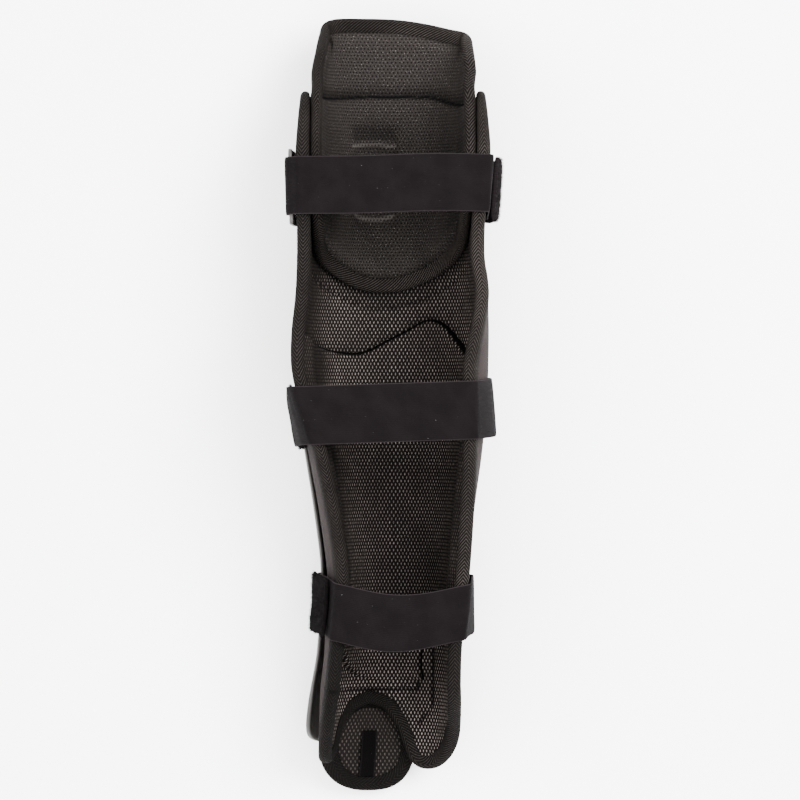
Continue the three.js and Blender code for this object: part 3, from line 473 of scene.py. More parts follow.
def table_value(rows, key, column, at):
    """Smooth curve through one column of a table, level beyond its ends."""
    last = len(rows) - 1
    if at <= rows[0][key]:
        return rows[0][column]
    if at >= rows[last][key]:
        return rows[last][column]
    i = 0
    while rows[i + 1][key] < at:
        i += 1

    def slope(k):
        a, b = rows[max(k - 1, 0)], rows[min(k + 1, last)]
        return (b[column] - a[column]) / (b[key] - a[key])

    span = rows[i + 1][key] - rows[i][key]
    t = (at - rows[i][key]) / span
    t2, t3 = t * t, t * t * t
    return ((2 * t3 - 3 * t2 + 1) * rows[i][column] + (t3 - 2 * t2 + t) * span * slope(i)
            + (3 * t2 - 2 * t3) * rows[i + 1][column] + (t3 - t2) * span * slope(i + 1))


def section_value(column, y):
    if y <= BODY_TOP:
        at = (y - BODY_BOTTOM) / BODY_LENGTH
    else:
        at = 1 + (y - BODY_TOP) / KNEE_PAD_RISE
    return table_value(SECTIONS, "at", column, at)


def half_section(side, y):
    """Half of the section at a whole y: distances along it, points and inward normals."""
    if (side, y) in section_cache:
        return section_cache[side, y]
    name = "left" if side < 0 else "right"
    wide = CALF_HALF_WIDTH * section_value(name, y)
    edge = CALF_HALF_WIDTH * section_value(name + "_edge", y)
    floor = (SHELL_WALL + SHELL_GAP + FLAP_ROOM * section_value("room", y)
             + FRONT_LIFT * section_value("lift", y))
    top = WING_HEIGHT * section_value("wing", y)
    rise = (top - floor) * SHOULDER_SHARE
    power = 2 / BOTTOM_SQUARENESS
    points = []
    for i in range(SECTION_STEPS + 1):
        angle = i / SECTION_STEPS * math.pi / 2
        points.append((wide * math.sin(angle) ** power,
                       floor + rise * (1 - max(math.cos(angle), 0) ** power)))
    for i in range(1, SECTION_STEPS + 1):
        t = i / SECTION_STEPS
        points.append((wide - (wide - edge) * t * t, floor + rise + (top - floor - rise) * t))
    along, normals = [0.0], [(0.0, 1.0)]
    for i in range(1, len(points)):
        before, after = points[i - 1], points[min(i + 1, len(points) - 1)]
        along.append(along[-1] + math.dist(points[i], before))
        reach = math.dist(after, before)
        normals.append((-(after[1] - before[1]) / reach, (after[0] - before[0]) / reach))
    section_cache[side, y] = along, points, normals
    return section_cache[side, y]


def girth(side, y):
    side = -1 if side < 0 else 1
    low = math.floor(y)
    return lerp(half_section(side, low)[0][-1], half_section(side, low + 1)[0][-1], y - low)


def section_point(side, across, y, depth):
    along, points, normals = half_section(side, y)
    target = abs(across) * along[-1]
    i = clamp(bisect_left(along, target) - 1, 0, len(points) - 2)
    t = (target - along[i]) / (along[i + 1] - along[i])
    s = clamp(t, 0, 1)
    return (side * (lerp(points[i][0], points[i + 1][0], t)
                    + depth * lerp(normals[i][0], normals[i + 1][0], s)),
            lerp(points[i][1], points[i + 1][1], t)
            + depth * lerp(normals[i][1], normals[i + 1][1], s))


def on_surface(across, y, depth):
    """A point of the body: across -1 to 1 round the section, depth towards the leg."""
    side = -1 if across < 0 else 1
    low = math.floor(y)
    a = section_point(side, across, low, depth)
    b = section_point(side, across, low + 1, depth)
    return Vector((lerp(a[0], b[0], y - low), y, lerp(a[1], b[1], y - low)))


def across_at(x, y):
    """How far round the section a point of the plan lies."""
    side = -1 if x < 0 else 1
    along, points, _ = half_section(side, math.floor(y))
    i = 0
    while i < SECTION_STEPS and points[i + 1][0] < abs(x):
        i += 1
    t = clamp((abs(x) - points[i][0]) / (points[i + 1][0] - points[i][0]), 0, 1)
    return side * lerp(along[i], along[i + 1], t) / along[-1]


def panel_wall(y):
    """Thickness of wrap and liner together."""
    thin = smoothstep(y, BODY_TOP - LINER_TAPER, BODY_TOP)
    return WRAP_WALL + SEAT_GAP + lerp(LINER_WALL, LINER_TOP_WALL, thin)


class Panel:
    """A bounded piece of the body's surface, with an outline that runs anticlockwise."""

    def __init__(self, lower, upper, rows, side_across):
        self.lower, self.upper, self.rows = lower, upper, rows
        self.columns = len(lower) - 1
        self.lines, self.spans = {}, {}
        sides = []
        for side, i in ((1, self.columns), (-1, 0)):
            heights = [lerp(lower[i][1], upper[i][1], j / rows) for j in range(1, rows)]
            sides.append([(side * side_across(side, y), y) for y in heights])
        outline = lower + sides[0] + upper[::-1] + sides[1][::-1]
        self.outline = [(across * girth(across, y), y) for across, y in outline]

    def inset(self, k, distance):
        count = len(self.outline)
        before, after = self.outline[(k - 1) % count], self.outline[(k + 1) % count]
        reach = math.dist(before, after)
        y = self.outline[k % count][1] + distance * (after[0] - before[0]) / reach
        u = self.outline[k % count][0] - distance * (after[1] - before[1]) / reach
        return u / girth(u, y), y

    def side_line(self, side, distance):
        if (side, distance) not in self.lines:
            first = self.columns if side > 0 else 0
            self.lines[side, distance] = [self.inset(first + side * j, distance)
                                          for j in range(self.rows + 1)]
        return self.lines[side, distance]

    def limit(self, across, y, distance):
        line = self.side_line(-1 if across < 0 else 1, distance)
        j = 0
        while j < self.rows - 1 and line[j + 1][1] < y:
            j += 1
        t = clamp((y - line[j][1]) / (line[j + 1][1] - line[j][1]), 0, 1)
        return abs(lerp(line[j][0], line[j + 1][0], t))

    def span(self, i, distance):
        if (i, distance) not in self.spans:
            low = self.inset(i, distance)
            high = self.inset(2 * self.columns + self.rows - i, distance)
            self.spans[i, distance] = (low, high, low[0] / self.limit(*low, distance),
                                       high[0] / self.limit(*high, distance))
        return self.spans[i, distance]

    def along(self, i, y, distance):
        low, high, low_share, high_share = self.span(i, distance)
        t = (y - low[1]) / (high[1] - low[1])
        share = clamp(lerp(low_share, high_share, t), -1, 1)
        return share * self.limit(share, y, distance)

    def inside(self, i, j, distance):
        low, high, _, _ = self.span(i, distance)
        if j == 0:
            return low
        if j == self.rows:
            return high
        y = lerp(self.lower[i][1], self.upper[i][1], j / self.rows)
        return self.along(i, y, distance), y

    def grid(self, distance):
        return [[self.inside(i, j, distance) for i in range(self.columns + 1)]
                for j in range(self.rows + 1)]

    def border(self, distance):
        return [self.inset(k, distance) for k in range(len(self.outline))]


def mix(points, weights):
    """Weighted sum of points, which are tuples or vectors."""
    return tuple(sum(w * p[k] for w, p in zip(weights, points)) for k in range(len(points[0])))


def smooth_line(line, times, closed=False):
    """Places on a smooth curve through a line's points, at times counted in points."""
    count = len(line)
    found = []
    for time in times:
        i = math.floor(time) if closed else clamp(math.floor(time), 0, count - 2)
        t = time - i
        spots = [line[k % count] if closed else line[clamp(k, 0, count - 1)]
                 for k in range(i - 1, i + 3)]
        weights = (((2 - t) * t - 1) * t / 2, ((3 * t - 5) * t * t + 2) / 2,
                   ((4 - 3 * t) * t + 1) * t / 2, (t - 1) * t * t / 2)
        found.append(mix(spots, weights))
    return found


def spread(count, steps, crowd=0.0):
    """Times from 0 to count in even steps, or closer together towards both ends."""
    shares = [k / steps for k in range(steps + 1)]
    return [count * (s - crowd * math.sin(2 * math.pi * s) / (2 * math.pi)) for s in shares]


def smooth_grid(grid, columns, rows, crowd=0.0):
    """A finer grid through a coarse one."""
    wide = [smooth_line(row, spread(len(row) - 1, columns, crowd)) for row in grid]
    tall = [smooth_line(column, spread(len(grid) - 1, rows, crowd)) for column in zip(*wide)]
    return [list(row) for row in zip(*tall)]


def flat_spot(spot):
    """Distance round the section and along the leg, for weaves that follow the cloth."""
    return spot[0] * girth(*spot), spot[1]


def flat_grid(grid):
    return [[flat_spot(spot) for spot in row] for row in grid]


def edge_distances(grid):
    """Distances of each spot of a grid from the grid's sides and ends, in millimetres."""
    flat = flat_grid(grid)
    near = []
    for row in flat:
        near.append([(min(u - row[0][0], row[-1][0] - u),
                      min(math.dist((u, y), flat[0][i]), math.dist((u, y), flat[-1][i])))
                     for i, (u, y) in enumerate(row)])
    return near


def rounding(distance, radius):
    """Height of a round edge, 0 at the rim and 1 past its radius."""
    t = 1 - clamp(distance / radius, 0, 1)
    return math.sqrt(max(1 - t * t, 0))


def ripple(spot, size, seed):
    """Uneven cloth: soft noise from -1 to 1 with the given feature size in millimetres."""
    return noise.noise(Vector((spot[0] / size, spot[1] / size, seed)))


def uneven(piece, spot):
    height, size, seed = UNEVEN[piece]
    return height * ripple(spot, size, seed)


def bell(distance, half_width):
    """1 at no distance, falling smoothly on both sides."""
    return math.exp(-(distance / half_width) ** 2)


def signed_volume(vertices, faces):
    total = 0.0
    for face in faces:
        for k in range(1, len(face) - 1):
            a, b, c = vertices[face[0]], vertices[face[k]], vertices[face[k + 1]]
            total += a.dot(b.cross(c))
    return total


def make_object(name, vertices, faces, uvs, marks=None):
    """A mesh object in metres, with a flat map of the cloth in millimetres and its marks of painted
    shade and highlight.
    """
    vertices = [Vector(v) * MM for v in vertices]
    if signed_volume(vertices, faces) < 0:
        faces = [face[::-1] for face in faces]
    mesh = bpy.data.meshes.new(name)
    mesh.from_pydata([tuple(v) for v in vertices], [], faces)
    layer = mesh.uv_layers.new(name="cloth")
    for loop in mesh.loops:
        layer.data[loop.index].uv = uvs[loop.vertex_index]
    if marks:
        mesh.attributes.new("mark", "FLOAT", "POINT").data.foreach_set("value", marks)
    mesh.polygons.foreach_set("use_smooth", [True] * len(mesh.polygons))
    made = bpy.data.objects.new(name, mesh)
    bpy.context.scene.collection.objects.link(made)
    return made


def pile_tufts(face, under, flat, seed):
    """Short bristles that stand on a face and lean at random, for fuzzy tape."""
    dice = random.Random(seed)
    rows, columns = len(face) - 1, len(face[0]) - 1
    tufts = []
    for _ in range(TUFT_COUNT):
        j, i = dice.randrange(rows), dice.randrange(columns)
        s, t = dice.random(), dice.random()
        root = face[j][i].lerp(face[j][i + 1], s).lerp(face[j + 1][i].lerp(face[j + 1][i + 1], s), t)
        up = (face[j][i] - under[j][i]).normalized()
        rim = 2 * (j + t) / rows - 1
        lean = Vector([dice.uniform(-1, 1) for _ in range(3)])
        lean.y += TUFT_RIM_LEAN * rim * abs(rim) ** 7
        tip = root + (up + TUFT_LEAN * lean).normalized() * dice.uniform(0.6, 1) * TUFT_LENGTH
        a = up.orthogonal().normalized()
        b = up.cross(a)
        feet = [root - TUFT_ROOT * up + TUFT_WIDTH * (math.cos(k * 2 * math.pi / 3) * a
                                                      + math.sin(k * 2 * math.pi / 3) * b)
                for k in range(3)]
        tufts.append(([*feet, tip], flat[j][i]))
    return tufts


def make_wall(name, outer, inner, flat, marks=None, tufts=None):
    """A closed wall between two grids of points. marks: 1 where shade is painted in seams and
    creases, -1 where a highlight is painted on raised lips.
    """
    rows, columns = len(outer) - 1, len(outer[0]) - 1
    vertices = [p for grid in (outer, inner) for row in grid for p in row]
    uvs = [p for row in flat for p in row] * 2
    if marks:
        marks = [0.0] * (len(vertices) // 2) + [mark for row in marks for mark in row]

    def at(i, j, face):
        return (face * (rows + 1) + j) * (columns + 1) + i

    faces = []
    for j in range(rows):
        for i in range(columns):
            faces.append((at(i, j, 1), at(i + 1, j, 1), at(i + 1, j + 1, 1), at(i, j + 1, 1)))
            faces.append((at(i, j, 0), at(i, j + 1, 0), at(i + 1, j + 1, 0), at(i + 1, j, 0)))
    for i in range(columns):
        faces.append((at(i, 0, 0), at(i + 1, 0, 0), at(i + 1, 0, 1), at(i, 0, 1)))
        faces.append((at(i, rows, 1), at(i + 1, rows, 1), at(i + 1, rows, 0), at(i, rows, 0)))
    for j in range(rows):
        faces.append((at(0, j, 1), at(0, j + 1, 1), at(0, j + 1, 0), at(0, j, 0)))
        faces.append((at(columns, j, 0), at(columns, j + 1, 0), at(columns, j + 1, 1),
                      at(columns, j, 1)))
    if signed_volume(vertices, faces) < 0:
        faces = [face[::-1] for face in faces]
    for tuft, spot in tufts or []:
        base = len(vertices)
        vertices += tuft
        uvs += [spot] * 4
        faces += [tuple(base + k for k in face) for face in TUFT_FACES]
    return make_object(name, vertices, faces, uvs, marks)


def make_ring(name, sections):
    """A closed ring of equal closed sections, with a seam where its flat map starts again."""
    count, corners = len(sections), len(sections[0])
    vertices = [p for section in sections for p in section]
    around = [0.0]
    for m in range(1, corners):
        around.append(around[-1] + (Vector(sections[0][m]) - Vector(sections[0][m - 1])).length)
    along, uvs = 0.0, []
    for k, section in enumerate(sections):
        if k:
            along += (Vector(section[0]) - Vector(sections[k - 1][0])).length
        uvs.extend((along, distance) for distance in around)
    faces = []
    for k in range(count):
        for m in range(corners):
            here, there = k * corners, ((k + 1) % count) * corners
            turn = (m + 1) % corners
            faces.append((here + m, there + m, there + turn, here + turn))
    return make_object(name, vertices, faces, uvs)


def body_panel():
    apex = BODY_BOTTOM + LOBE_DROP
    lower = [(row["across"], apex - LOBE_DROP * row["reach"]) for row in LOWER_EDGE]
    upper = []
    for row in LOWER_EDGE:
        reach = girth(row["across"], BODY_TOP)
        past = max(abs(row["across"]) * reach - reach + BODY_TOP_ROUND, 0)
        drop = BODY_TOP_ROUND - math.sqrt(max(BODY_TOP_ROUND ** 2 - past ** 2, 0))
        upper.append((row["across"], BODY_TOP - drop))
    return Panel(lower, upper, BODY_ROWS, lambda side, y: 1)


def knee_pad_side(side, y):
    return 1 - KNEE_PAD_INSET / girth(side, y)


def knee_pad_panel():
    pad_top = BODY_TOP + KNEE_PAD_RISE
    lower, upper = [], []
    for row in KNEE_PAD_EDGE:
        share = row["across"]
        low = knee_pad_low(share)
        past = max((abs(share) - 1) * girth(share, pad_top) + KNEE_PAD_TOP_ROUND, 0)
        high = pad_top - KNEE_PAD_TOP_ROUND + math.sqrt(max(KNEE_PAD_TOP_ROUND ** 2
                                                            - past ** 2, 0))
        lower.append((share * knee_pad_side(share, low), low))
        high -= KNEE_PAD_TOP_FALL * row["fall"]
        upper.append((share * knee_pad_side(share, high), high))
    return Panel(lower, upper, KNEE_PAD_ROWS, knee_pad_side)


def knee_pad_back(y):
    out = smoothstep(y, BODY_TOP + CROSS_GAP, BODY_TOP + KNEE_PAD_STEP * KNEE_PAD_RISE)
    return lerp(panel_wall(y) + CROSS_GAP, 2 * WRAP_WALL, out)


def knee_pad_depths(spot):
    """Back and front of the knee pad, which sinks in a dent at its middle."""
    back = knee_pad_back(spot[1])
    crown = 1 - smoothstep(abs(spot[0]), *KNEE_PAD_CROWN)
    x = on_surface(spot[0], spot[1], back).x - DENT_SHIFT
    out_x = smoothstep(abs(x) / DENT_HALF_WIDTH, *DENT_SLOPE)
    out_y = smoothstep(abs(spot[1] - BODY_TOP + DENT_BELOW) / DENT_HALF_LENGTH, *DENT_SLOPE)
    dent = DENT_DEPTH * (1 - out_x) * (1 - out_y)
    return back, back + lerp(KNEE_PAD_EDGE_WALL, KNEE_PAD_WALL, crown) - dent


def shell_reach(side, y):
    return section_value("shell_left" if side < 0 else "shell_right", y)


def shell_room(across, y):
    side = section_value("room_left" if across < 0 else "room_right", y)
    return SHELL_GAP + FLAP_ROOM * lerp(section_value("room", y), side,
                                        smoothstep(abs(across), *ROOM_BLEND))


def squircle(a, b, power):
    """Spreads a square over a square with round corners; a higher power is squarer."""
    most = max(abs(a), abs(b))
    if most == 0:
        return 0.0, 0.0
    scale = (abs(a / most) ** power + abs(b / most) ** power) ** (1 / power)
    return a / scale, b / scale


def build_wrap(panel):
    grid = smooth_grid(panel.grid(BINDING_WIDTH - TUCK), *BODY_GRID)
    outer = [[on_surface(*s, uneven("outer_cloth", s)) for s in row] for row in grid]
    inner = [[on_surface(*s, WRAP_WALL) for s in row] for row in grid]
    flat = flat_grid(grid)
    return make_wall("outer_cloth", outer, inner, flat), cut_size(flat)


def cut_size(flat):
    """Width, length and area in metres of the cloth that a grid lays flat."""
    wide = max(row[-1][0] - row[0][0] for row in flat)
    tall = max(y for row in flat for _, y in row) - min(y for row in flat for _, y in row)
    area = 0.0
    for low, high in zip(flat, flat[1:]):
        for i in range(len(low) - 1):
            a, b, c, d = low[i], low[i + 1], high[i + 1], high[i]
            area += abs((c[0] - a[0]) * (d[1] - b[1]) - (d[0] - b[0]) * (c[1] - a[1])) / 2
    return wide * MM, tall * MM, area * MM * MM


def knee_pad_low(share):
    """Height of the knee pad's rounded lower end."""
    return (BODY_TOP - KNEE_PAD_DEPTH
            + KNEE_PAD_END * table_value(KNEE_PAD_EDGE, "across", "rise", share))


def above_knee_pad_end(spot):
    share = clamp(spot[0] / knee_pad_side(*spot), -1, 1)
    return spot[1] - knee_pad_low(share)


def shin_pad_high(share):
    """Height of the shin pad's wavy upper edge."""
    return SHIN_PAD_TROUGH + SHIN_PAD_WAVE * table_value(SHIN_PAD_EDGE, "across", "wave", share)


def liner_crease(spot):
    """The sewn line that runs below the knee pad, parallel to its rounded end."""
    gap = above_knee_pad_end(spot) + CREASE_BELOW
    return bell(gap, CREASE_HALF_WIDTH) * (1 - smoothstep(spot[0], *CREASE_FADE))


def short_creases(point):
    """How far a point of the plan lies in one of the short creases, and how deep it is."""
    mark, depth = 0.0, 0.0
    for row in CREASES:
        run = Vector((row["x1"] - row["x0"], row["y1"] - row["y0"]))
        way = Vector((point.x - row["x0"], point.y - row["y0"]))
        t = clamp(way.dot(run) / run.length_squared, 0, 1)
        inside = bell((way - run * t).length, row["wide"])
        mark, depth = max(mark, inside), max(depth, inside * row["deep"])
    return mark, depth


def liner_shade(spot):
    """Shade of the liner below the knee pad's rounded end and above the shin pad's edge."""
    reach = SHADE_BELOW * (1 - SHADE_RIGHT * max(spot[0], 0))
    below = 1 - smoothstep(-above_knee_pad_end(spot), SHADE_START, reach)
    over = spot[1] - shin_pad_high(spot[0])
    above = 1 - smoothstep(over, 0, SHADE_ABOVE) if over > -1 else 0.0
    return SHADE_MARK * max(below, above)


def build_cushion(name, grid, back, face):
    """A padded wall. back: depth of its hidden side. face: depth of its seen side and its mark of
    painted shade and highlight.
    """
    outer, inner, marks = [], [], []
    for row, gaps in zip(grid, edge_distances(grid)):
        outer.append([on_surface(*spot, back(spot)) for spot in row])
        found = [face(spot, side, end, row[-1][0]) for spot, (side, end) in zip(row, gaps)]
        inner.append([on_surface(*spot, depth) for spot, (depth, _) in zip(row, found)])
        marks.append([mark for _, mark in found])
    return make_wall(name, outer, inner, flat_grid(grid), marks)


def liner_face(spot, side, end, _):
    wall = panel_wall(spot[1])
    seam = liner_crease(spot)
    mark, deep = short_creases(on_surface(*spot, wall))
    soft = LINER_SINK * (1 - rounding(min(side, end), LINER_ROUND)) + deep
    soft += CREASE_DEPTH * seam + uneven("mesh_liner", flat_spot(spot))
    # The mark is painted shade: in the creases, below the knee pad and above the shin pad.
    return wall - soft, max(CREASE_SHADE * seam, SHORT_CREASE_SHADE * mark, liner_shade(spot))


def build_liner(panel):
    grid = smooth_grid(panel.grid(BINDING_WIDTH - TUCK), *BODY_GRID, crowd=CROWDING)
    return build_cushion("mesh_liner", grid, lambda spot: WRAP_WALL + SEAT_GAP, liner_face)


def tape_sections(lines, depths, steps):
    """Sections of a bound edge: lines of spots at each corner, with depths for each spot."""
    coarse = []
    for line, (_, deep) in zip(lines, BINDING_SECTION):
        points = []
        for spot in line:
            low, high = depths(spot)
            points.append(tuple(on_surface(*spot, lerp(low, high, deep))))
        coarse.append(points)
    count = len(coarse[0])
    fine = [smooth_line(line, [count * k / steps for k in range(steps)], closed=True)
            for line in coarse]
    return [list(section) for section in zip(*fine)]


def rounded(section, steps):
    """A section's open outline, smoothed, with its ends kept sharp."""
    return smooth_line(section, spread(len(section) - 1, steps))


def build_tape(name, panel, width, depths, steps):
    lines = [panel.border(inset * width) for inset, _ in BINDING_SECTION]
    sections = [rounded(section, TAPE_CORNERS) for section in tape_sections(lines, depths, steps)]
    return make_ring(name, sections)


def body_tape_depths(spot):
    return -BINDING_PROUD, panel_wall(spot[1]) + BINDING_PROUD


def knee_tape_depths(spot):
    back = knee_pad_back(spot[1])
    return back, back + KNEE_PAD_EDGE_WALL


def knee_pad_seam(spot):
    """The sewn line across the knee pad: depth share of its groove, and its mark, which paints shade
    in and above the line and a highlight on the rim below it.
    """
    x = on_surface(*spot, 0).x
    fall = (SEAM_FALL * smoothstep(x, *SEAM_FALL_SPAN)
            + SEAM_LEFT_FALL * smoothstep(-x, *SEAM_LEFT_SPAN))
    gap = spot[1] - BODY_TOP - SEAM_RISE + fall
    groove = bell(gap, SEAM_ABOVE if gap > 0 else SEAM_UNDER)
    strength, half_width = SEAM_SHADE
    shade = strength * bell(gap, half_width) if gap > 0 else 0.0
    strength, distance, half_width = SEAM_HIGHLIGHT
    # Painted shade in and above the line, less a painted highlight on the rim below.
    return groove, max(bell(gap, SEAM_LINE), shade) - strength * bell(gap + distance, half_width)


def dent_lips(spot):
    """Raised lips at the ends of the knee pad's dent, and the channel above the upper one."""
    x = on_surface(*spot, knee_pad_back(spot[1]) + KNEE_PAD_WALL).x - DENT_SHIFT
    lip = 0.0
    for row in LIPS:
        across = (x - row["shift"]) / row["half"]
        y = spot[1] - BODY_TOP + row["y"] - row["bow"] * (1 - across * across)
        ends = 1 - smoothstep(abs(across), *LIP_ENDS)
        lip = max(lip, ends * bell(y, LIP_HALF_WIDTH))
    below = BODY_TOP - spot[1]
    channel = smoothstep(below, *CHANNEL_TOP) * (1 - smoothstep(below, *CHANNEL_FOOT))
    return lip, channel * (1 - smoothstep(abs(x) / DENT_HALF_WIDTH, *DENT_SLOPE))


def knee_pad_face(spot, side, end, _):
    back, front = knee_pad_depths(spot)
    groove, stitched = knee_pad_seam(spot)
    lip, channel = dent_lips(spot)
    depth = lerp(back + KNEE_PAD_RIM * KNEE_PAD_EDGE_WALL, front,
                 rounding(min(side, end), KNEE_PAD_ROUND))
    depth += LIP_HEIGHT * lip - CHANNEL_DEPTH * channel - SEAM_DEPTH * groove
    depth += uneven("knee_cushion", flat_spot(spot))
    # The mark paints shade in the seam and the channel, and a highlight on the lips.
    return max(depth, back + 2 * SEAT_GAP), max(stitched, CHANNEL_SHADE * channel) - lip


def build_knee_pad(panel):
    grid = smooth_grid(panel.grid(KNEE_PAD_BINDING_WIDTH - TUCK), *KNEE_PAD_GRID,
                       crowd=CROWDING)
    return build_cushion("knee_cushion", grid, lambda spot: knee_pad_back(spot[1]) + SEAT_GAP,
                         knee_pad_face)


def shin_pad_grid(panel):
    edge = BINDING_WIDTH - TUCK
    grid = [[] for _ in range(SHIN_PAD_ROWS + 1)]
    for i in range(panel.columns + 1):
        share = clamp(panel.along(i, SHIN_PAD_TROUGH, edge), -1, 1)
        low = -SHIN_PAD_BELOW + LOBE_DROP * table_value(SHIN_PAD_EDGE, "across", "foot", share)
        high = shin_pad_high(share)
        side = "left" if share < 0 else "right"
        for j in range(SHIN_PAD_ROWS + 1):
            t = j / SHIN_PAD_ROWS
            y = lerp(low, high, t)
            width = table_value(SHIN_PAD_WIDTH, "at", side, t)
            grid[j].append((panel.along(i, y, edge) * width, y))
    return grid


def shin_pad_face(spot, side, end, row_end):
    """Depth and painted edge shade of the shin pad, whose lower right side is free and the rest sewn
    down.
    """
    wall = panel_wall(spot[1])
    is_foot = spot[1] < SHIN_PAD_TROUGH - SHIN_PAD_BELOW / 2
    sewn = SHIN_PAD_SIDE if is_foot else end
    shown = smoothstep(side, *SEAM_FADE)
    if row_end < FREE_SIDE and spot[0] > 0:
        sewn, shown = side + SEAM_SLIM, 1
        end, side = min(side, end), SHIN_PAD_SIDE
    swell = min(rounding(end, SHIN_PAD_ROUND),
                smoothstep(side, SHIN_PAD_SIDE_START, SHIN_PAD_SIDE))
    depth = lerp(wall - SHIN_PAD_ROOT, wall + CROSS_GAP + SHIN_PAD_WALL, swell)
    depth += (uneven("shin_cushion", flat_spot(spot))
              * smoothstep(min(side, end), 0, CALM_EDGE))
    # The mark is shade painted along the pad's edge.
    return depth, shown * (1 - smoothstep(sewn, *PAD_EDGE_SHADE))


def build_shin_pad(panel):
    grid = smooth_grid(shin_pad_grid(panel), *SHIN_PAD_GRID, crowd=CROWDING)
    return build_cushion("shin_cushion", grid,
                         lambda spot: panel_wall(spot[1]) - 3 * SHIN_PAD_ROOT, shin_pad_face)


def wall_over(name, columns, rows, points_at):
    """A wall whose outer, inner and flat points come from a function of two shares."""
    grids = ([], [], [])
    for j in range(rows + 1):
        line = [points_at(i / columns, j / rows) for i in range(columns + 1)]
        for grid, points in zip(grids, zip(*line)):
            grid.append(list(points))
    return make_wall(name, *grids)


def build_shell(name, power, low, high, bulge):
    def points_at(s, t):
        a, b = squircle(2 * s - 1, 2 * t - 1, power)
        y = lerp(low, high, (b + 1) / 2)
        across = a * shell_reach(a, y)
        room = shell_room(across, y)
        rim = max(abs(a), abs(b))
        x = on_surface(across, y, -room - SHELL_WALL).x
        swell = SHELL_RIDGE * (1 - smoothstep(abs(x), 0, SHELL_RIDGE_HALF_WIDTH))
        swell += bulge * (1 - smoothstep(rim, *KNEE_CAP_CROWN))
        thin = SHELL_THIN * SHELL_WALL * smoothstep(rim, *SHELL_RIM)
        out = on_surface(across, y, -room - SHELL_WALL - swell + thin)
        out.z = max(out.z, 0)
        return out, on_surface(across, y, -room - thin), flat_spot((across, y))

    return wall_over(name, *SHELL_GRID, points_at)


def flap_point(a, b, depth):
    narrow = 1 - FLAP_TAPER * max(b / FLAP_HALF_LENGTH, 0)
    x, y = FLAP_SHIFT + a * narrow, BODY_BOTTOM + FLAP_RISE + b
    return on_surface(across_at(x, y), y, depth)


def build_flap():
    share = 1 - (FLAP_BINDING_WIDTH - TUCK) / FLAP_HALF_WIDTH

    def points_at(s, t):
        a, b = squircle(2 * s - 1, 2 * t - 1, FLAP_SQUARENESS)
        rim = max(abs(2 * s - 1), abs(2 * t - 1))
        soft = FLAP_SOFT * (1 - rounding(1 - rim, FLAP_ROUND))
        spot = (a * share * FLAP_HALF_WIDTH, b * share * FLAP_HALF_LENGTH)
        face = -CROSS_GAP - soft + uneven("ankle_cushion", spot)
        back = -CROSS_GAP - FLAP_WALL + 0.5 * soft
        return flap_point(*spot, back), flap_point(*spot, face), spot

    return wall_over("ankle_cushion", *FLAP_GRID, points_at)


def build_flap_tape():
    sections = []
    for k in range(FLAP_TAPE_STEPS):
        angle = 2 * math.pi * k / FLAP_TAPE_STEPS
        cos, sin = math.cos(angle), math.sin(angle)
        reach = (abs(cos) ** FLAP_SQUARENESS + abs(sin) ** FLAP_SQUARENESS) \
            ** (-1 / FLAP_SQUARENESS)
        section = []
        for inset, deep in BINDING_SECTION:
            share = reach * (1 - inset * FLAP_BINDING_WIDTH / FLAP_HALF_WIDTH)
            section.append(tuple(flap_point(share * cos * FLAP_HALF_WIDTH,
                                            share * sin * FLAP_HALF_LENGTH,
                                            -CROSS_GAP - FLAP_WALL * (1 - deep))))
        sections.append(rounded(section, TAPE_CORNERS))
    return make_ring("ankle_tape", sections)


def build_loop():
    def points_at(s, t):
        s -= 0.5
        a = s * LOOP_WIDTH + LOOP_SHIFT + LOOP_LEAN * t
        b = (t - 1 + LOOP_ABOVE) * LOOP_LENGTH
        edge = LOOP_THIN * (2 * abs(s)) ** 8
        base = -CROSS_GAP + SEAT_GAP + LOOP_RISE * math.sin(math.pi * t) ** 2
        return (flap_point(a, b, base + edge), flap_point(a, b, base + TAPE_WALL - edge),
                (t * LOOP_LENGTH, s * LOOP_WIDTH))

    return wall_over("ankle_loop_tape", *LOOP_GRID, points_at)


def below_edge(y, distance, depth):
    """A point of the left wing's outer face, a distance below the wing edge."""
    return on_surface(-1 + distance / girth(-1, y), y, depth)


def plate_depth(distance):
    foot = PLATE_DROP + PLATE_HEIGHT
    lean = (foot - distance) / (foot - PLATE_DROP)
    return -CROSS_GAP - (STRAP_WALL + SEAT_GAP) * min(PLATE_LEAN * lean, 1)


def hull_line(strap, y):
    """Outside of what a strap lies on at y: a convex line from left to right over the back."""
    wing_sides = []
    for i in range(HULL_STEPS + 1):
        if "start" in strap:
            wing_sides.append(lerp(strap["start"], -1, i / HULL_STEPS))
        wing_sides.append(lerp(strap["end"], 1, i / HULL_STEPS))
    spots = []
    for across in wing_sides:
        on_shell = abs(across) < shell_reach(across, y) + PAST_SHELL
        spots.append(on_surface(across, y, -shell_room(across, y) - SHELL_WALL if on_shell
                                else -BINDING_PROUD))
    if "start" not in strap:
        lying = plate_depth(PLATE_DROP) - PLATE_WALL
        spots.append(below_edge(y, PLATE_DROP + PLATE_BAR, lying))
        spots.append(below_edge(y, PLATE_DROP, lying))
    for side in (-1, 1):
        lifted = side * (1 + WING_CLEARANCE / girth(side, y))
        spots += [on_surface(lifted, y, share * panel_wall(y)) for share in WING_LIFTS]
    spots.sort(key=lambda p: math.atan2(p.x, p.z - HULL_PIVOT * WING_HEIGHT))
    line = []
    for spot in spots:
        while len(line) > 1 and ((line[-1].x - line[-2].x) * (spot.z - line[-2].z)
                                 - (line[-1].z - line[-2].z) * (spot.x - line[-2].x)) >= 0:
            line.pop()
        line.append(spot)
    return line


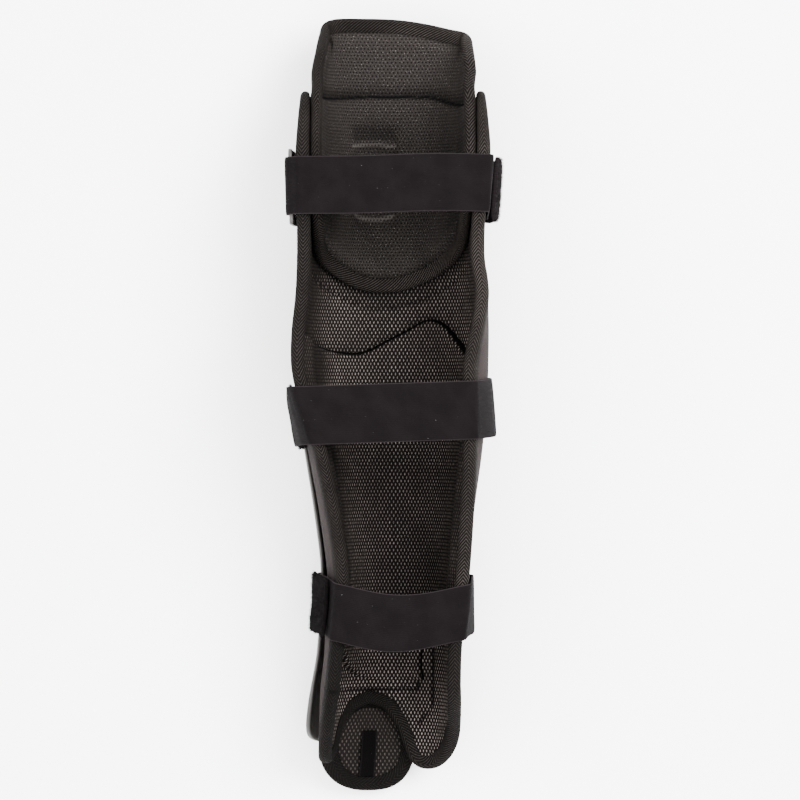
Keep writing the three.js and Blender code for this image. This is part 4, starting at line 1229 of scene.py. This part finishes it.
def line_lengths(line):
    lengths = [0.0]
    for a, b in zip(line, line[1:]):
        lengths.append(lengths[-1] + (b - a).length)
    return lengths


def along_line(line, share):
    lengths = line_lengths(line)
    target = clamp(share, 0, 1) * lengths[-1]
    i = clamp(bisect_left(lengths, target) - 1, 0, len(line) - 2)
    t = clamp((target - lengths[i]) / (lengths[i + 1] - lengths[i]), 0, 1)
    return line[i].lerp(line[i + 1], t)


def off_line(line, i, distance):
    """A line's point moved off it, away from the leg."""
    before, after = line[max(i - 1, 0)], line[min(i + 1, len(line) - 1)]
    reach = math.hypot(after.x - before.x, after.z - before.z)
    return Vector((line[i].x - distance * (after.z - before.z) / reach, line[i].y,
                   line[i].z + distance * (after.x - before.x) / reach))


def strap_level(strap, share):
    """Height of a strap's centre line, at a share of its way from left to right."""
    over = clamp((share - SAG_SPAN[0]) / (SAG_SPAN[1] - SAG_SPAN[0]), 0, 1)
    return (BODY_BOTTOM + BODY_LENGTH * lerp(strap["left"], strap["right"], share)
            - STRAP_WIDTH * strap["sag"] * math.sin(math.pi * over) ** 2)


def strap_shares(strap, first, last, steps):
    """Shares along a strap, closer together where it turns over the wing edges."""
    hull = hull_line(strap, strap_level(strap, 0.5))
    lengths = line_lengths(hull)
    turns = [length / lengths[-1] for point, length in zip(hull, lengths)
             if point.z > TURN_LEVEL * WING_HEIGHT]
    sums = [0.0]
    for k in range(SHARE_SAMPLES):
        share = lerp(first, last, (k + 0.5) / SHARE_SAMPLES)
        sums.append(sums[-1] + 1 + sum(bell(share - turn, TURN_WIDTH) for turn in turns))
    shares = []
    for i in range(steps + 1):
        target = sums[-1] * i / steps
        k = clamp(bisect_left(sums, target) - 1, 0, SHARE_SAMPLES - 1)
        place = k + (target - sums[k]) / (sums[k + 1] - sums[k])
        shares.append(lerp(first, last, place / SHARE_SAMPLES))
    return shares


def flare_at(strap, share, v):
    """How far a strap stands off the right wing."""
    out = smoothstep(share, *FLARE_EASE) * (1 - smoothstep(share, *FLARE_BACK))
    return strap["flare"] * (STRAP_WIDTH / 2 - v) * out


def strap_line(strap, v, off, first=0.0, last=1.0, steps=None):
    """Line of a strap's inner face at v across its width."""
    line = []
    for share in strap_shares(strap, first, last, steps or strap["steps"]):
        hull = hull_line(strap, strap_level(strap, share) + v)
        near = [along_line(hull, at) for at in (share - SHARE_STEP, share, share + SHARE_STEP)]
        line.append(off_line(near, 1, off(share) + flare_at(strap, share, v)))
    return line


def top_strap_line(strap, v):
    """The inner ply, its fold round the plate's bar, and the run over the open back."""
    y = strap_level(strap, 0) + v
    inner = -STRAP_CLEARANCE
    outside = plate_depth(PLATE_DROP) - PLATE_WALL - STRAP_CLEARANCE
    radius = (inner - STRAP_WALL - outside) / 2
    centre = PLATE_DROP + PLATE_BAR + SEAT_GAP
    ply = [below_edge(y, PLY_END, inner - STRAP_WALL)]
    for k in range(FOLD_STEPS + 1):
        angle = math.pi * k / FOLD_STEPS
        ply.append(below_edge(y, centre + radius * math.sin(angle),
                              inner - STRAP_WALL - radius * (1 - math.cos(angle))))
    return ply + strap_line(strap, v, lambda share: STRAP_CLEARANCE)[1:]


def build_band(name, wall, width, line_at, rim=BAND_THIN, waves=0.0, seed=0.0):
    """A flat band between two faces, with edges that thin out to a round rim."""
    coarse = [line_at(share * width) for share in BAND_LINES]
    faces = []
    for offset in (0, wall):
        grid = [[tuple(off_line(line, i, offset)) for i in range(len(line))] for line in coarse]
        faces.append(smooth_grid(grid, BAND_FINE * (len(coarse[0]) - 1), BAND_ROWS))
    outer, inner, flat = [], [], []
    for j in range(BAND_ROWS + 1):
        s = abs(2 * j / BAND_ROWS - 1)
        thin = rim * s ** 10 / 2
        length, rows = 0.0, ([], [], [])
        for i, (p, q) in enumerate(zip(faces[0][j], faces[1][j])):
            p, q = Vector(p), Vector(q)
            length += (p - last).length if i else 0.0
            last = p
            wave = waves * ripple((length, p.y), PILE_WAVE_SIZE, seed) * s ** 4
            shift = Vector((0, wave, 0))
            rows[0].append(p.lerp(q, thin) + shift)
            rows[1].append(q.lerp(p, thin) + shift)
            rows[2].append((length, (j / BAND_ROWS - 0.5) * width))
        outer.append(rows[1])
        inner.append(rows[0])
        flat.append(rows[2])
    tufts = pile_tufts(outer, inner, flat, seed) if seed else None
    return make_wall(name, outer, inner, flat, tufts=tufts)


def build_plate(strap):
    slot_top = PLATE_DROP + PLATE_BAR

    def spot(k, half_length, top, bottom):
        angle = 2 * math.pi * k / PLATE_STEPS
        a, b = math.cos(angle), math.sin(angle)
        a, b = squircle(a / max(abs(a), abs(b)), b / max(abs(a), abs(b)), PLATE_SQUARENESS)
        return (strap_level(strap, 0) + half_length * a,
                (top + bottom) / 2 + (bottom - top) / 2 * b)

    sections = []
    for k in range(PLATE_STEPS):
        rim = spot(k, PLATE_LENGTH / 2, PLATE_DROP, PLATE_DROP + PLATE_HEIGHT)
        slot = spot(k, PLATE_LENGTH / 2 - PLATE_FRAME, slot_top, slot_top + PLATE_SLOT)
        section = []
        for inward, deep in PLATE_SECTION:
            y, down = mix((rim, slot), (1 - inward, inward))
            section.append(below_edge(y, down, plate_depth(down) - deep * PLATE_WALL))
        sections.append(section)
    return make_ring("strap_buckle_plate", sections)


def build_straps():
    top, middle, bottom = STRAPS["top"], STRAPS["middle"], STRAPS["bottom"]
    ease = [TABS["middle"]["to"] + reach for reach in TAB_EASE]
    outside = STRAP_CLEARANCE + STRAP_WALL + CROSS_GAP

    def over_tab(share):
        return STRAP_CLEARANCE + (TAB_WALL + CROSS_GAP) * (1 - smoothstep(share, *ease))

    def bulging(share):
        t = (share - TABS["top"]["from"]) / (TABS["top"]["to"] - TABS["top"]["from"])
        return outside + TAB_BULGE * math.sin(math.pi * t) ** 2

    def level(share):
        return STRAP_CLEARANCE

    def tab(name, off):
        side = TABS[name]
        return build_band(name + "_strap_pile", TAB_WALL, STRAP_WIDTH * side["width"],
                          lambda v: strap_line(STRAPS[name], v, off, side["from"], side["to"],
                                               TAB_STEPS),
                          rim=PILE_THIN, waves=PILE_WAVES, seed=PILE_SEEDS[name])

    return {
        "top_strap": build_band("top_strap_band", STRAP_WALL, STRAP_WIDTH,
                                lambda v: top_strap_line(top, v)),
        "middle_strap": build_band("middle_strap_band", STRAP_WALL, STRAP_WIDTH,
                                   lambda v: strap_line(middle, v, over_tab)),
        "bottom_strap": build_band("bottom_strap_band", STRAP_WALL, STRAP_WIDTH,
                                   lambda v: strap_line(bottom, v, level)),
        "top_strap_tab": tab("top", bulging),
        "middle_strap_tab": tab("middle", level),
        "bottom_strap_tab": tab("bottom", lambda share: outside),
        "strap_plate": build_plate(top),
    }


class Look:
    """One material's node tree, built from short calls."""

    def __init__(self, name):
        self.material = bpy.data.materials.new(name)
        self.material.use_nodes = True
        self.tree = self.material.node_tree
        self.shader = self.tree.nodes["Principled BSDF"]

    def node(self, kind, settings=None, **inputs):
        made = self.tree.nodes.new("ShaderNode" + kind)
        for key, value in (settings or {}).items():
            setattr(made, key, value)
        for key, value in inputs.items():
            self.give(made.inputs[key.replace("_", " ")], value)
        return made

    def give(self, socket, value):
        if isinstance(value, bpy.types.NodeSocket):
            self.tree.links.new(value, socket)
        else:
            socket.default_value = value

    def math(self, operation, *values):
        made = self.node("Math", {"operation": operation})
        for socket, value in zip(made.inputs, values):
            self.give(socket, value)
        return made.outputs[0]

    def range(self, value, low, high, to_low=0.0, to_high=1.0):
        made = self.node("MapRange", {"interpolation_type": "SMOOTHSTEP"}, Value=value)
        for name, number in (("From Min", low), ("From Max", high), ("To Min", to_low),
                             ("To Max", to_high)):
            made.inputs[name].default_value = number
        return made.outputs["Result"]

    def times(self, first, *others):
        for value in others:
            first = self.math("MULTIPLY", first, value)
        return first

    def plus(self, first, second):
        return self.math("ADD", first, second)

    def less(self, first, second):
        return self.math("SUBTRACT", first, second)

    def waves(self, measure, pitch):
        return self.math("SINE", self.times(measure, 2 * math.pi / pitch))

    def noise(self, kind, vector=None):
        scale, detail = NOISE[kind]
        made = self.node("TexNoise", Scale=scale, Detail=detail)
        if vector is None:
            vector = self.node("TexCoord").outputs["Object"]
        self.give(made.inputs["Vector"], vector)
        return made.outputs["Fac"]

    def patches(self, kind, vector=None, span=SOFT_SPAN, to=(0.0, 1.0)):
        """Soft noise, spread between two values."""
        return self.range(self.noise(kind, vector), *span, *to)

    def mix(self, factor, first, second):
        made = self.node("Mix", {"data_type": "RGBA"})
        self.give(made.inputs["Factor"], factor)
        self.give(made.inputs[6], first)
        self.give(made.inputs[7], second)
        return made.outputs[2]

    def flat(self):
        """The cloth's flat map as two numbers in millimetres."""
        uv = self.node("UVMap", {"uv_map": "cloth"}).outputs["UV"]
        split = self.node("SeparateXYZ", Vector=uv)
        return uv, split.outputs["X"], split.outputs["Y"]

    def marked(self, color, seam, painted_highlight):
        """Darkens a colour where shade is painted into seams, creases and hollows, and lightens it
        where a highlight is painted on raised lips.
        """
        mark = self.node("Attribute", {"attribute_name": "mark"}).outputs["Fac"]
        dark = self.mix(self.range(mark, 0.1, 0.9), color, seam)
        return self.mix(self.range(mark, -0.2, -0.8), dark, painted_highlight)

    def bump(self, kind, height):
        distance, strength = RELIEF[kind]
        made = self.node("Bump", Height=height, Strength=strength, Distance=distance)
        return made.outputs["Normal"]

    def finish(self, color, roughness, normal, **fixed):
        self.give(self.shader.inputs["Base Color"], color)
        self.give(self.shader.inputs["Roughness"], roughness)
        self.give(self.shader.inputs["Normal"], normal)
        for key, value in fixed.items():
            self.shader.inputs[key.replace("_", " ")].default_value = value
        return self.material


def grey(level, warmth=0.06):
    """A dark colour a little warmer than neutral."""
    return (level * (1 + warmth), level, level * (1 - 0.5 * warmth), 1.0)


def plum(level):
    """A dark colour with a faint purple cast."""
    return (level * 1.25, level * 0.97, level * 1.06, 1.0)


def umber(level):
    """A dark red-brown."""
    return (level * 1.5, level, level * 0.97, 1.0)


def white(level):
    return (level, level, level, 1.0)


def holes(look, across, along, cell):
    """Staggered round holes of a knitted mesh: 1 inside a hole and 0 between them."""
    pitch_across, pitch_along, half_width, half_height = cell
    rows = look.math("DIVIDE", along, pitch_along)
    shift = look.math("FRACT", look.times(look.math("FLOOR", rows), 0.5))
    column = look.math("FRACT", look.plus(look.math("DIVIDE", across, pitch_across), shift))
    dx = look.times(look.less(column, 0.5), pitch_across / half_width)
    dy = look.times(look.less(look.math("FRACT", rows), 0.5), pitch_along / half_height)
    far = look.math("SQRT", look.plus(look.times(dx, dx), look.times(dy, dy)))
    return look.range(far, *CELL_EDGE, 1.0, 0.0)


def shin_mesh_look(name="shin_mesh", shade_dim=1.0):
    """Black knitted mesh whose open cells show a light layer behind, painted lighter towards the
    knee and the ankle and darker on its side walls.
    """
    look = Look(name)
    uv, across, along = look.flat()
    sway = look.times(look.less(look.noise("mesh_sway", uv), 0.5), 1.6)
    cell = holes(look, look.plus(across, sway), along, SHIN_CELL)
    lively = look.patches("mesh_cells", uv, to=(0.4, 1.0))
    cloudy = look.patches("mesh_clouds", uv, to=(0.65, 1.0))
    # Painted light and shade: lighter towards the knee and the ankle, darker on the side walls.
    high = look.range(along, *CALF_SPAN, 1.0, 1.7)
    low = look.range(along, *ANKLE_SPAN, 1.6, 1.0)
    left = look.range(across, *LEFT_WALL_SPAN, 0.25, 1.0)
    right = look.range(across, *RIGHT_WALL_SPAN, 1.0, 0.6)
    light = look.times(cell, lively, cloudy, high, low, left, right)
    # Painted light: the ground is lighter towards the knee.
    ground = look.mix(look.range(along, *CALF_SPAN), *(grey(tone, MESH_WARMTH)
                                                       for tone in SHIN_GROUND))
    color = look.mix(look.times(light, 0.5), ground, grey(SHIN_CELL_TONE * shade_dim, MESH_WARMTH))
    color = look.marked(color, grey(SEAM_SHADE_TONE), grey(SHIN_HIGHLIGHT_TONE))
    return look.finish(color, look.range(cell, 0.0, 1.0, 0.9, 0.7),
                       look.bump("shin_mesh", cell), **MATT_CLOTH)


def knee_mesh_look():
    """Grey spacer mesh with dark pinholes and painted glints between them, and light painted on its
    top.
    """
    look = Look("knee_mesh")
    uv, across, along = look.flat()
    cell = holes(look, across, along, KNEE_CELL)
    # Painted glints: bright specks on the fibres.
    glints = look.patches("knee_glints", uv, span=(0.58, 0.74))
    ground = look.mix(look.patches("knee_clouds", uv), *(grey(tone, KNEE_WARMTH)
                                                     for tone in KNEE_GROUND))
    # Painted light: the pad's top is lighter.
    ground = look.mix(look.range(along, *KNEE_SPAN), ground, grey(KNEE_LIT_TOP_TONE, KNEE_WARMTH))
    lit = look.mix(look.times(glints, 0.75), ground, grey(GLINT_TONE, 0.12))
    color = look.mix(look.times(cell, 0.88), lit, grey(PINHOLE_TONE))
    # Painted highlight for the raised lips, with the mesh's holes in it.
    lip_highlight = look.mix(look.times(cell, 0.85), grey(LIP_HIGHLIGHT_TONE[1], 0.14), grey(LIP_HIGHLIGHT_TONE[0]))
    color = look.marked(color, grey(SEAM_SHADE_TONE), lip_highlight)
    weave = look.less(look.times(glints, 0.5), cell)
    return look.finish(color, look.range(glints, 0.0, 1.0, 0.9, 0.6),
                       look.bump("knee_mesh", weave), **KNEE_CLOTH)


def painted_tape_light(look):
    """Painted light and shade of the tape: lighter on the right, shaded round the arch and the right
    lobe.
    """
    split = look.node("SeparateXYZ", Vector=look.node("TexCoord").outputs["Object"])
    low = look.range(split.outputs["Y"], *ARCH_SPAN, 1.0, 0.0)
    inside = look.range(split.outputs["X"], *LEFT_LOBE_SPAN)
    sides = look.range(split.outputs["X"], *SIDE_SPAN, 0.8, 1.5)
    return look.times(look.less(1.0, look.times(low, inside, 0.7)), sides)


def twill_look(name, fold, shade_dim=1.0, turn=TWILL_FOLD):
    """Tape with slanted ribs that meet in chevrons along lines round its edge."""
    look = Look(name)
    uv, along, around = look.flat()
    side = look.math("PINGPONG", look.plus(around, fold), turn)
    rib = look.range(look.waves(look.plus(along, look.times(side, TWILL_SLANT)), TWILL_PITCH),
                     -0.7, 1.0)
    grain = look.patches("twill_grain", uv, to=(0.35, 1.0))
    patches = look.patches("twill_wear", span=(0.35, 0.65), to=(0.45, 1.0))
    # The tape's light and shade are painted by position.
    light = look.times(rib, grain, patches, painted_tape_light(look))
    color = look.mix(light, grey(TWILL_TONE[0], 0.18), grey(TWILL_TONE[1] * shade_dim, 0.2))
    return look.finish(color, 0.9, look.bump("twill", rib), **MATT_CLOTH)


def smooth_cloth_look():
    """Fine knit of the outside, with scuffs."""
    look = Look("outer_knit")
    uv, across, along = look.flat()
    knit = look.times(look.waves(across, KNIT_PITCH), look.waves(along, KNIT_PITCH))
    scuff = look.patches("knit_scuffs", uv, span=(0.62, 0.8))
    ground = look.mix(look.patches("knit_clouds", uv), *map(umber, KNIT_GROUND))
    color = look.mix(look.times(scuff, 0.3), ground, umber(SCUFF_TONE))
    return look.finish(color, look.range(scuff, 0.0, 1.0, 0.8, 0.9),
                       look.bump("knit", knit), **MATT_CLOTH)


def elastic_look(name, half_width, tone=STRAP_TONE):
    """Ribbed elastic webbing with lighter rolled edges and a little lint."""
    look = Look(name)
    uv, along, across = look.flat()
    start, full = (half_width - inset for inset in ROLLED_EDGE)
    rolled = look.range(look.math("ABSOLUTE", across), start, full)
    lint = look.patches("lint", uv, span=(0.78, 0.82))
    ground = look.mix(look.patches("strap_clouds", uv), plum(0.85 * tone), plum(1.15 * tone))
    edged = look.mix(look.times(rolled, 0.6), ground, plum(6 * tone))
    color = look.mix(lint, edged, grey(LINT_TONE, 0.0))
    height = look.plus(look.times(look.waves(across, RIB_PITCH), 0.6),
                       look.times(look.waves(along, WEFT_PITCH), 0.4))
    return look.finish(color, 0.9, look.bump("elastic", height), **MATT_TAPE)


def pile_look(name, tone):
    """Fuzzy loop tape: fine tangled pile that catches light at its edges."""
    look = Look(name)
    tangle = look.noise("fuzz", look.flat()[0])
    color = look.mix(look.range(tangle, 0.35, 0.7), plum(0.2 * tone), plum(tone))
    return look.finish(color, 0.95, look.bump("pile", tangle), **MATT_TAPE)


def plastic_look():
    """Satin grey plastic with a fine moulded grain and worn, lighter edges."""
    look = Look("shell_plastic")
    worn = look.range(look.node("NewGeometry").outputs["Pointiness"], 0.52, 0.60)
    ground = look.mix(look.patches("plastic_clouds"), *(grey(tone, 0.1) for tone in PLASTIC_GROUND))
    color = look.mix(look.times(worn, 0.5), ground, grey(WORN_PLASTIC_TONE, 0.03))
    scratches = look.patches("plastic_scratches", span=(0.5, 0.75), to=(0.4, 0.6))
    return look.finish(color, scratches, look.bump("plastic", look.noise("plastic_grain")),
                       Specular_IOR_Level=0.15)


def floor_look():
    look = Look("pale_floor")
    color = look.mix(look.patches("floor_clouds"), *map(white, FLOOR_TONE))
    return look.finish(color, 0.7, look.bump("floor", look.noise("floor_grain")))


def show(piece, node, look):
    """Gives a piece its material and its place in the frame."""
    piece.data.materials.append(look)
    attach(piece, "root")
    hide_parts(node)
    return piece


def show_shells(plastic):
    cap_high = BODY_TOP - KNEE_CAP_BELOW + KNEE_CAP_LENGTH / 2
    cap_low = cap_high - KNEE_CAP_LENGTH
    shin_high = cap_low - SHELL_SPACING
    show(build_shell("knee_cap_shell", KNEE_CAP_SQUARENESS, cap_low, cap_high,
                     KNEE_CAP_BULGE), "knee_cap", plastic)
    show(build_shell("shin_shell_blade", SHIN_SHELL_SQUARENESS, shin_high - SHIN_SHELL_LENGTH,
                     shin_high, 0), "shin_shell", plastic)


def show_flap():
    """The ankle flap with its tape and loop, in darker copies of their materials as painted shade;
    gives the flap's cushion back.
    """
    flap = show(build_flap(), "ankle_flap", shin_mesh_look("flap_mesh_shaded", FLAP_MESH_SHADE))
    show(build_flap_tape(), "ankle_flap_binding",
         twill_look("flap_twill_shaded", TWILL_START, FLAP_TWILL_SHADE))
    show(build_loop(), "ankle_loop", elastic_look("loop_elastic", LOOP_WIDTH / 2, LOOP_SHADED_TONE))
    return flap


def show_straps(plastic):
    elastic = elastic_look("strap_elastic", STRAP_WIDTH / 2)
    worn = pile_look("worn_pile", WORN_FUZZY_TONE)
    fuzzy = pile_look("loop_pile", FUZZY_TONE)
    for node, piece in build_straps().items():
        if node == "strap_plate":
            show(piece, node, plastic)
        elif node.endswith("tab"):
            show(piece, node, worn if node == "top_strap_tab" else fuzzy)
        else:
            show(piece, node, elastic)


def build_guard():
    body, knee = body_panel(), knee_pad_panel()
    shin_mesh, plastic = shin_mesh_look(), plastic_look()
    wrap, (wide, tall, area) = build_wrap(body)
    show(wrap, "outer_wrap", smooth_cloth_look())
    liner = show(build_liner(body), "liner", shin_mesh)
    show(build_tape("edge_tape", body, BINDING_WIDTH, body_tape_depths, TAPE_STEPS),
         "edge_binding", twill_look("edge_twill", TWILL_START))
    knee_cushion = show(build_knee_pad(knee), "knee_pad", knee_mesh_look())
    show(build_tape("knee_tape", knee, KNEE_PAD_BINDING_WIDTH, knee_tape_depths,
                    KNEE_TAPE_STEPS),
         "knee_pad_binding", twill_look("knee_twill", KNEE_TWILL_START, turn=KNEE_TWILL_FOLD))
    shin_cushion = show(build_shin_pad(body), "shin_pad", shin_mesh)
    show_shells(plastic)
    flap = show_flap()
    show_straps(plastic)


def build_floor():
    half = FLOOR_SIZE / 2
    corners = [(-half, -half), (half, -half), (half, half), (-half, half)]
    top = [Vector((x, y, 0)) / MM for x, y in corners]
    under = [Vector((x, y, -FLOOR_WALL)) / MM for x, y in corners]
    sides = [(k, (k + 1) % 4, 4 + (k + 1) % 4, 4 + k) for k in range(4)]
    floor = make_object("floor", top + under, [(0, 1, 2, 3), (7, 6, 5, 4), *sides], corners * 2)
    floor.data.polygons.foreach_set("use_smooth", [False] * 6)
    floor.data.materials.append(floor_look())


def build_camera():
    data = bpy.data.cameras.new("camera")
    data.sensor_width = SENSOR
    data.lens = SENSOR * (CAMERA_HEIGHT - FRAME_LEVEL) / FRAME_WIDTH
    camera = bpy.data.objects.new("camera", data)
    camera.location = (*CAMERA_CENTRE, CAMERA_HEIGHT)
    bpy.context.scene.collection.objects.link(camera)
    bpy.context.scene.camera = camera


def build_lights():
    for name, place, size, power in LIGHTS:
        data = bpy.data.lights.new(name, "AREA")
        data.size = size
        data.energy = power
        light = bpy.data.objects.new(name, data)
        light.location = place
        light.rotation_mode = "QUATERNION"
        light.rotation_quaternion = (-Vector(place)).to_track_quat("-Z", "Y")
        bpy.context.scene.collection.objects.link(light)
    world = bpy.data.worlds.new("studio")
    world.use_nodes = True
    background = world.node_tree.nodes["Background"]
    background.inputs["Color"].default_value = (1.0, 1.0, 1.0, 1.0)
    background.inputs["Strength"].default_value = WORLD_STRENGTH
    bpy.context.scene.world = world


build_guard()
build_floor()
build_camera()
build_lights()
